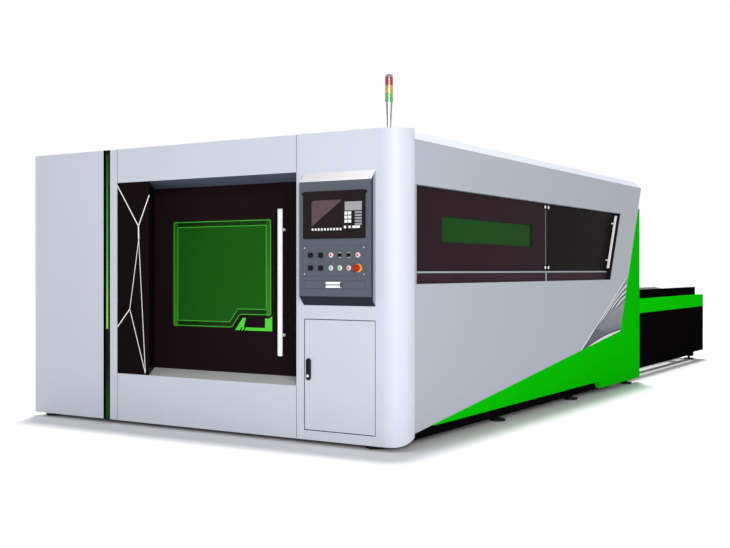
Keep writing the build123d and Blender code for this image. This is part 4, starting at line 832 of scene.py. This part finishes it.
class LASER_OT_controls(bpy.types.Operator):
    """Finish the control box, its keys, buttons and handles"""

    bl_idname = "laser_cell.controls"
    bl_label = "Controls"

    def execute(self, context):
        paint = settings()[0]
        paint_nodes(hood_paint_and_painted_light("control_box_coat_and_painted_light", paint.box, paint.white), "control_box")
        drawer = powder_coat("drawer_coat", paint.box, 0.36, patches=[(pull_mask, paint.white)])
        paint_nodes(drawer, "keyboard_drawer")
        paint_nodes(moulded("bezel_plastic", (0.095, 0.062, 0.078), 0.3), "screen_bezel")
        paint_nodes(key_finish("key_plastic", paint.white), "keypad_keys")
        paint_nodes(ring_finish("ring_plating"), "button_rings")
        for node in ("red_button_1", "red_button_2", "red_button_3"):
            paint_nodes(cap_finish(node, (0.80, 0.12, 0.22)), node)
        for node in ("green_button_1", "green_button_2"):
            paint_nodes(cap_finish(node, (0.30, 0.68, 0.40)), node)
        paint_nodes(moulded("stop_cap", (0.66, 0.15, 0.05), 0.3), "estop_button")
        black = moulded("black_cap", (0.06, 0.06, 0.065), 0.4)
        paint_nodes(black, "black_button_1", "black_button_2", "black_button_3", "black_button_4")
        paint_nodes(black, "selector_1", "selector_2", "cabinet_latch")
        paint_nodes(handle_finish("handle_enamel", paint.white), "door_handle", "leaf_handle")
        lamps = {"red": (0.54, 0.09, 0.13), "amber": (0.68, 0.60, 0.28), "green": (0.32, 0.62, 0.36)}
        for name, colour in lamps.items():
            paint_nodes(moulded(name + "_lens", colour, 0.14, 90.0, 0.06, 0.7), "tower_" + name)
        paint_nodes(bright_metal("pole_plating", (0.62, 0.62, 0.63), 0.08), "tower_pole")
        return {"FINISHED"}


class LASER_OT_machine_inside(bpy.types.Operator):
    """Finish the bed, the cutting head, the pallets and the feet"""

    bl_idname = "laser_cell.machine_inside"
    bl_label = "Inside"

    def execute(self, context):
        paint = settings()[0]
        paint_nodes(bare_steel("slat_steel", paint.steel, 0.42), "inner_pallet", "outer_pallet")
        paint_nodes(bare_steel("head_steel", paint.steel, 0.28, (40.0, 40.0, 1.0)), "cutting_head")
        paint_nodes(moulded("foot_rubber", (0.07, 0.07, 0.07), 0.6), "levelling_feet")
        return {"FINISHED"}


class LASER_OT_jamb_trim(bpy.types.Operator):
    """Lay the light trim lines on the jamb beside the door"""

    bl_idname = "laser_cell.jamb_trim"
    bl_label = "Jamb trim"

    def execute(self, context):
        paint, trim, _ = settings()
        # each line: its two ends, as distance left of the corner and height over the panels' lower edge, and
        # its share of the width
        lines = (
            ((2.384, 1.818), (2.163, 1.500), 1.0), ((2.052, 1.734), (2.163, 1.500), 1.0),
            ((2.163, 1.500), (2.160, 1.398), 1.4), ((2.160, 1.398), (2.253, 0.864), 0.6),
            ((2.160, 1.398), (2.092, 0.390), 0.6), ((2.253, 0.864), (2.384, 0.723), 1.0),
            ((2.253, 0.864), (2.092, 0.378), 0.7),
        )
        pieces = []
        for (left, low), (right, high), share in lines:
            start = Vector((CORNER_X - left, FRONT_Y, FLOOR_GAP + low))
            end = Vector((CORNER_X - right, FRONT_Y, FLOOR_GAP + high))
            run = end - start
            middle = (start + end) / 2 - Vector((0.0, trim.line_height / 2, 0.0))
            half = Vector((run.length / 2, trim.line_height / 2, trim.line_width * share / 2))
            pieces.append(bar("line", middle - half, middle + half, 0.001, -math.atan2(run.z, run.x)))
        piece = joined("jamb_trim", pieces)
        dress(piece, handle_finish("trim_enamel", paint.white), "machine")
        return {"FINISHED"}


class LASER_OT_corner_end(bpy.types.Operator):
    """Round off the lower end of the corner column, where it runs into the side panel"""

    bl_idname = "laser_cell.corner_end"
    bl_label = "Corner end"

    def execute(self, context):
        node = frame["nodes"]["control_column"]
        deselect_all()
        node.select_set(True)
        context.view_layer.objects.active = node
        bpy.ops.object.duplicate()
        piece = settle("rounded_column")
        bpy.ops.object.mode_set(mode="EDIT")
        bpy.ops.mesh.select_mode(type="FACE")
        bpy.ops.mesh.select_all(action="SELECT")
        bpy.ops.mesh.remove_doubles(threshold=0.00001)
        # each cut: where it starts behind the front, its height over the panels' lower edge, and its slope
        cuts = ((0.026, 0.0, 0.22), (0.060, 0.0075, 0.38), (0.110, 0.0265, 0.55))
        for depth, rise, slope in cuts:
            bpy.ops.mesh.select_all(action="DESELECT")
            bpy.ops.object.mode_set(mode="OBJECT")
            spots = piece.data.vertices
            for face in piece.data.polygons:
                face.select = all(spots[index].co.x > CORNER_X - SLACK for index in face.vertices)
            bpy.ops.object.mode_set(mode="EDIT")
            bpy.ops.mesh.bisect(
                plane_co=(CORNER_X, FRONT_Y + depth, FLOOR_GAP + rise), plane_no=(0.0, slope, -1.0),
                use_fill=True, clear_outer=True,
            )
        bpy.ops.mesh.customdata_custom_splitnormals_clear()
        bpy.ops.object.mode_set(mode="OBJECT")
        bpy.ops.object.shade_smooth_by_angle(angle=math.radians(30.0))
        dress(piece, node.data.materials[0], "machine")
        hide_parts("control_column")
        return {"FINISHED"}


class LASER_OT_panel_seams(bpy.types.Operator):
    """Draw dark strips as painted shadow in the gaps beside lintel, apron and cabinet door, and the strip
    between the leaves
    """

    bl_idname = "laser_cell.panel_seams"
    bl_label = "Panel seams"

    def execute(self, context):
        paint, trim, _ = settings()
        half, end_gap = trim.seam_width / 2, 0.004
        out, sunk = FRONT_Y - trim.seam_height, FRONT_Y + 0.001
        spans = ((FLOOR_GAP + end_gap, JAMB_LOW.z), (JAMB_HIGH.z, LINTEL_HIGH.z - end_gap))
        strips = [
            bar("strip", (x - half, out, low), (x + half, sunk, high), trim.seam_height / 2)
            for x in (LINTEL_LOW.x, LINTEL_HIGH.x) for low, high in spans
        ]
        # painted shadow: dark strips stand in for the shade in the gaps, here and round the cabinet door
        shadow = dark_sheet("seam_shadow", paint.dark)
        dress(joined("panel_seams", strips), shadow, "machine")
        corners = front_corners("cabinet_door", CABINET_GAP + trim.seam_width)
        edge = band("cabinet_edge_shadow", corners, 0.0, trim.seam_width, trim.seam_height)
        dress(edge, shadow, "machine")
        # the leaf strip: how far before the seam it starts and ends, its end gaps and half its thickness
        near, far, inset, thick = 0.010, 0.004, 0.050, 0.001
        low = (LEAF_SKIN_X - thick, LEAF_SEAM_Y - near, LEAF_LOW.z + inset)
        high = (LEAF_SKIN_X + thick, LEAF_SEAM_Y - far, LEAF_HIGH.z - inset)
        strip = bar("leaf_edge_strip", low, high, 0.0004)
        dress(strip, powder_coat("edge_strip_coat", paint.frame), "front_leaf")
        return {"FINISHED"}


class LASER_OT_window_frame(bpy.types.Operator):
    """Set the green bands round the door window, and the plate in its notch"""

    bl_idname = "laser_cell.window_frame"
    bl_label = "Window frame"

    def execute(self, context):
        paint, trim, _ = settings()
        pane_y = PANE_LOW.y
        wide = band("window_band", window_corners(0.0, pane_y), 0.0, trim.band_width, trim.band_height)
        dress(wide, window_band("window_band_painted_reflection", paint.band), "front_door")
        green = gloss_paint("window_line_green", shade(paint.accent, 0.82))
        # each bright line: how far in it runs, and the round of its corners
        lines = {"window_outer_line": (0.005, 0.020), "window_inner_line": (trim.band_width - 0.004, 0.008)}
        for name, (inset, corner_round) in lines.items():
            corners = window_corners(inset, pane_y - trim.band_height)
            piece = band(name, corners, corner_round, trim.bright_width, trim.band_height / 3)
            dress(piece, green, "front_door")
        self.fill_notch(paint, trim)
        return {"FINISHED"}

    def fill_notch(self, paint, trim):
        """Lay the plate into the notch, with a dark field and two dark slits on it."""
        corners = window_corners(0.0, DOOR_Y)
        right, notch_top = corners[3][0], corners[3][2]
        foot, start = corners[0][2] - 0.013, corners[1][0] + 0.030
        step, lap, tip, slope = 0.020, 0.009, 0.003, 0.072
        top = notch_top - step
        plan = [(start, foot), (right + lap, foot), (right + lap, notch_top - tip), (right - step, top),
                (start + slope, top)]
        plate = flat_face("accent_plate", [(x, DOOR_Y, z) for x, z in plan])
        raise_face(plate, (0.0, -trim.plate_height, 0.0))
        dress(plate, gloss_paint("bright_line_green", paint.accent), "front_door")
        # the inlays: height of the slits, which is the field's foot too, width and lean of a slit
        rise, slit_width, slit_lean = 0.023, 0.012, 0.018
        field_start, field_lean, field_end = 0.082, 0.022, 0.056
        left, low = start + field_start, foot + rise
        end = right - field_end
        outlines = [[(left, low), (end, low), (end, top), (left + field_lean, top)]]
        for run in (0.044, 0.074):
            left = start + run
            outlines.append([(left, foot), (left + slit_width, foot), (left + slit_width + slit_lean, low),
                             (left + slit_lean, low)])
        inlays = []
        for outline in outlines:
            face = flat_face("inlay", [(x, DOOR_Y - trim.plate_height, z) for x, z in outline])
            inlays.append(raise_face(face, (0.0, -trim.plate_height / 3, 0.0)))
        black = dark_sheet("accent_inlay_black", paint.dark)
        dress(joined("accent_inlays", inlays), black, "front_door")


class LASER_OT_screen(bpy.types.Operator):
    """Glaze the display and screw down the operator plate"""

    bl_idname = "laser_cell.screen"
    bl_label = "Screen and plate"

    def execute(self, context):
        paint, trim, _ = settings()
        # the glass and the plate: distances left of the corner and heights over the panels' lower edge
        glass_x, glass_z, glass_y = (0.5145, 0.2755), (1.4595, 1.6335), (0.0012, 0.0038)
        plate_x, plate_z = (0.593, 0.085), (1.122, 1.328)
        low, high = (
            (CORNER_X - x, BEZEL_LOW.y + y, FLOOR_GAP + z) for x, y, z in zip(glass_x, glass_y, glass_z)
        )
        glass = bar("screen_glass", low, high, 0.0006)
        dress(glass, screen_with_painted_reflection("screen_glass_painted_reflection"), "machine")
        left, right = (CORNER_X - x for x in plate_x)
        foot, top = (FLOOR_GAP + z for z in plate_z)
        face = BOX_LOW.y
        corners = [(left, face, foot), (right, face, foot), (right, face, top), (left, face, top)]
        edge = band("operator_plate_edge", corners, 0.006, 0.0025, 0.0012)
        dress(edge, powder_coat("plate_edge_coat", shade(paint.box, 0.82)), "machine")
        inset_x, inset_z, screw_height = 0.016, 0.014, 0.003
        place = (left + inset_x, face - 0.001, foot + inset_z)
        screw = disc("screw", place, "front", trim.screw_radius, screw_height, 16)
        across, up = right - left - 2 * inset_x, top - foot - 2 * inset_z
        screws = copied(screw, [(0.0, 0.0, up), (across, 0.0, 0.0), (across, 0.0, up)])
        plating = bright_metal("screw_plating", (0.86, 0.87, 0.88))
        dress(joined("plate_screws", screws), plating, "machine")
        clip_half, clip_out = 0.007, 0.005
        middle = BEZEL_LOW.x - clip_out
        low = (middle - clip_half, BEZEL_LOW.y + 0.001, BEZEL_HIGH.z - 0.022)
        high = (middle + clip_half, face, BEZEL_HIGH.z - 0.004)
        across = BEZEL_HIGH.x - BEZEL_LOW.x + 2 * clip_out
        clips = copied(bar("clip", low, high, 0.002), [(across, 0.0, 0.0)])
        black = moulded("clip_plastic", (0.05, 0.045, 0.05))
        dress(joined("bezel_clips", clips), black, "machine")
        return {"FINISHED"}


class LASER_OT_latch(bpy.types.Operator):
    """Fit the chrome barrel to the cabinet latch"""

    bl_idname = "laser_cell.latch"
    bl_label = "Latch barrel"

    def execute(self, context):
        trim = settings()[1]
        lift, out, height = 0.030, 0.001, 0.006
        middle = Vector(((LATCH_LOW.x + LATCH_HIGH.x) / 2, LATCH_LOW.y - out, LATCH_LOW.z + lift))
        barrel = disc("latch_barrel", middle, "front", trim.barrel_radius, height)
        low, high = Vector((-0.0012, -0.0042, -0.006)), Vector((0.0012, -0.0025, 0.006))
        slit = bar("slit", middle + low, middle + high, 0.0004)
        plating = bright_metal("barrel_plating", (0.88, 0.88, 0.89))
        dress(joined("latch_barrel", [barrel, slit]), plating, "cabinet_latch")
        return {"FINISHED"}


class LASER_OT_hinge_caps(bpy.types.Operator):
    """Cap the screws of the window leaves"""

    bl_idname = "laser_cell.hinge_caps"
    bl_label = "Hinge caps"

    def execute(self, context):
        paint, trim, _ = settings()
        white = handle_finish("cap_enamel", paint.white)
        inset, height, out, plate = 0.028, 0.005, 0.001, 0.004
        foot, rise = LEAF_LOW.z + inset, LEAF_HIGH.z - LEAF_LOW.z - 2 * inset
        pin, reach = LEAF_SEAM_Y + 0.009, 0.037
        place = (LEAF_SKIN_X + plate + out, pin - reach, foot)
        cap = disc("cap", place, "right", trim.cap_radius, height)
        first, upper, behind, upper_behind = copied(
            cap, [(0.0, 0.0, rise), (0.0, 2 * reach, 0.0), (0.0, 2 * reach, rise)]
        )
        place = (LEAF_SKIN_X + out, LEAF_LOW.y + 0.022, foot)
        small = copied(disc("cap", place, "right", trim.cap_radius * 0.6, height), [(0.0, 0.0, rise)])
        dress(joined("front_leaf_caps", [first, upper, *small]), white, "front_leaf")
        dress(joined("rear_leaf_caps", [behind, upper_behind]), white, "rear_leaf")
        return {"FINISHED"}


class LASER_OT_lamp_ribs(bpy.types.Operator):
    """Ring the lenses of the signal tower with ribs"""

    bl_idname = "laser_cell.lamp_ribs"
    bl_label = "Lamp ribs"

    def execute(self, context):
        slots = {"tower_red": "red_plastic", "tower_amber": "amber_plastic", "tower_green": "green_plastic"}
        count, first, pitch = 5, 0.009, 0.010
        for node, slot in slots.items():
            low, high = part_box(node)
            middle = (low + high) / 2
            deselect_all()
            bpy.ops.mesh.primitive_torus_add(
                location=(middle.x, middle.y, low.z + first), major_segments=40, minor_segments=8,
                major_radius=0.0268, minor_radius=0.0017,
            )
            ribs = copied(settle("rib"), [(0.0, 0.0, pitch * step) for step in range(1, count)])
            finish = frame["nodes"][node].data.materials[0]
            dress(joined(node + "_ribs", ribs), finish, "machine")
        return {"FINISHED"}


class LASER_OT_studio(bpy.types.Operator):
    """Lay the floor, set the camera and the lights"""

    bl_idname = "laser_cell.studio"
    bl_label = "Studio"

    def execute(self, context):
        studio = settings()[2]
        scene = context.scene
        scene.view_settings.view_transform = "Standard"
        deselect_all()
        bpy.ops.mesh.primitive_plane_add(size=120.0, location=(0.0, 0.0, 0.0))
        floor = settle("studio_floor")
        material, shader, place = begin("studio_floor")
        white = linear(studio.floor)
        feed(shader, base_color=in_view(place.tree).tint(shade(white, 0.55), white), roughness=0.7)
        floor.data.materials.append(material)
        camera = bpy.data.objects.new("photo_camera", bpy.data.cameras.new("photo_camera"))
        scene.collection.objects.link(camera)
        camera.location = studio.eye
        camera.rotation_euler = (math.radians(90.0), 0.0, studio.turn)
        camera.data.lens = studio.lens
        camera.data.sensor_width = 36.0
        camera.data.shift_y = studio.shift
        camera.data.clip_end = 300.0
        scene.camera = camera
        sun = bpy.data.objects.new("overhead_light", bpy.data.lights.new("overhead_light", "SUN"))
        sun.data.energy = studio.overhead
        sun.data.angle = math.radians(8.0)
        sun.rotation_euler = (math.radians(-10.5), math.radians(-6.0), 0.0)
        scene.collection.objects.link(sun)
        # each lamp: its place, what it aims at, its width and its power
        lamps = (
            ("key_light", (10.0, -14.5, 3.6), (0.0, -3.6, 1.0), 6.0, studio.key),
            ("rear_fill", (-7.0, 11.0, 6.0), (0.0, 2.0, 1.0), 8.0, studio.fill),
        )
        for name, place, aim, size, power in lamps:
            lamp = bpy.data.objects.new(name, bpy.data.lights.new(name, "AREA"))
            lamp.data.shape = "DISK"
            lamp.data.size = size
            lamp.data.energy = power
            lamp.location = place
            lamp.rotation_euler = (Vector(aim) - Vector(place)).to_track_quat("-Z", "Y").to_euler()
            scene.collection.objects.link(lamp)
        world = bpy.data.worlds.new("studio")
        scene.world = world
        world.use_nodes = True
        tree = world.node_tree
        strength = in_view(tree) * (1.0 - studio.ambient) + studio.ambient
        background = tree.nodes["Background"]
        background.inputs["Color"].default_value = (1.0, 1.0, 1.0, 1.0)
        tree.links.new(strength.socket, background.inputs["Strength"])
        return {"FINISHED"}


OPERATORS = (
    LASER_OT_panels, LASER_OT_windows, LASER_OT_controls, LASER_OT_machine_inside, LASER_OT_jamb_trim,
    LASER_OT_corner_end, LASER_OT_panel_seams, LASER_OT_window_frame, LASER_OT_screen, LASER_OT_latch,
    LASER_OT_hinge_caps, LASER_OT_lamp_ribs, LASER_OT_studio,
)


class LASER_PT_sidebar(bpy.types.Panel):
    """Steps that dress the machine"""

    bl_idname = "LASER_PT_sidebar"
    bl_label = "Laser Cell"
    bl_space_type = "VIEW_3D"
    bl_region_type = "UI"
    bl_category = "Laser Cell"

    def draw(self, context):
        for group in settings():
            for name in group.__annotations__:
                self.layout.prop(group, name)
        for operator in OPERATORS:
            self.layout.operator(operator.bl_idname)


CLASSES = (PaintSettings, TrimSettings, StudioSettings, *OPERATORS, LASER_PT_sidebar)


def register():
    """Register the classes and hang the settings on the scene."""
    for each in CLASSES:
        bpy.utils.register_class(each)
    bpy.types.Scene.laser_paint = bpy.props.PointerProperty(type=PaintSettings)
    bpy.types.Scene.laser_trim = bpy.props.PointerProperty(type=TrimSettings)
    bpy.types.Scene.laser_studio = bpy.props.PointerProperty(type=StudioSettings)


def unregister():
    """Take the settings off the scene and drop the classes."""
    for name in ("laser_paint", "laser_trim", "laser_studio"):
        delattr(bpy.types.Scene, name)
    for each in reversed(CLASSES):
        bpy.utils.unregister_class(each)


def main():
    """Dress the machine."""
    register()
    bpy.ops.laser_cell.panels()
    bpy.ops.laser_cell.windows()
    bpy.ops.laser_cell.controls()
    bpy.ops.laser_cell.machine_inside()
    bpy.ops.laser_cell.jamb_trim()
    bpy.ops.laser_cell.corner_end()
    bpy.ops.laser_cell.panel_seams()
    bpy.ops.laser_cell.window_frame()
    bpy.ops.laser_cell.screen()
    bpy.ops.laser_cell.latch()
    bpy.ops.laser_cell.hinge_caps()
    bpy.ops.laser_cell.lamp_ribs()
    bpy.ops.laser_cell.studio()


if __name__ == "__main__":
    main()
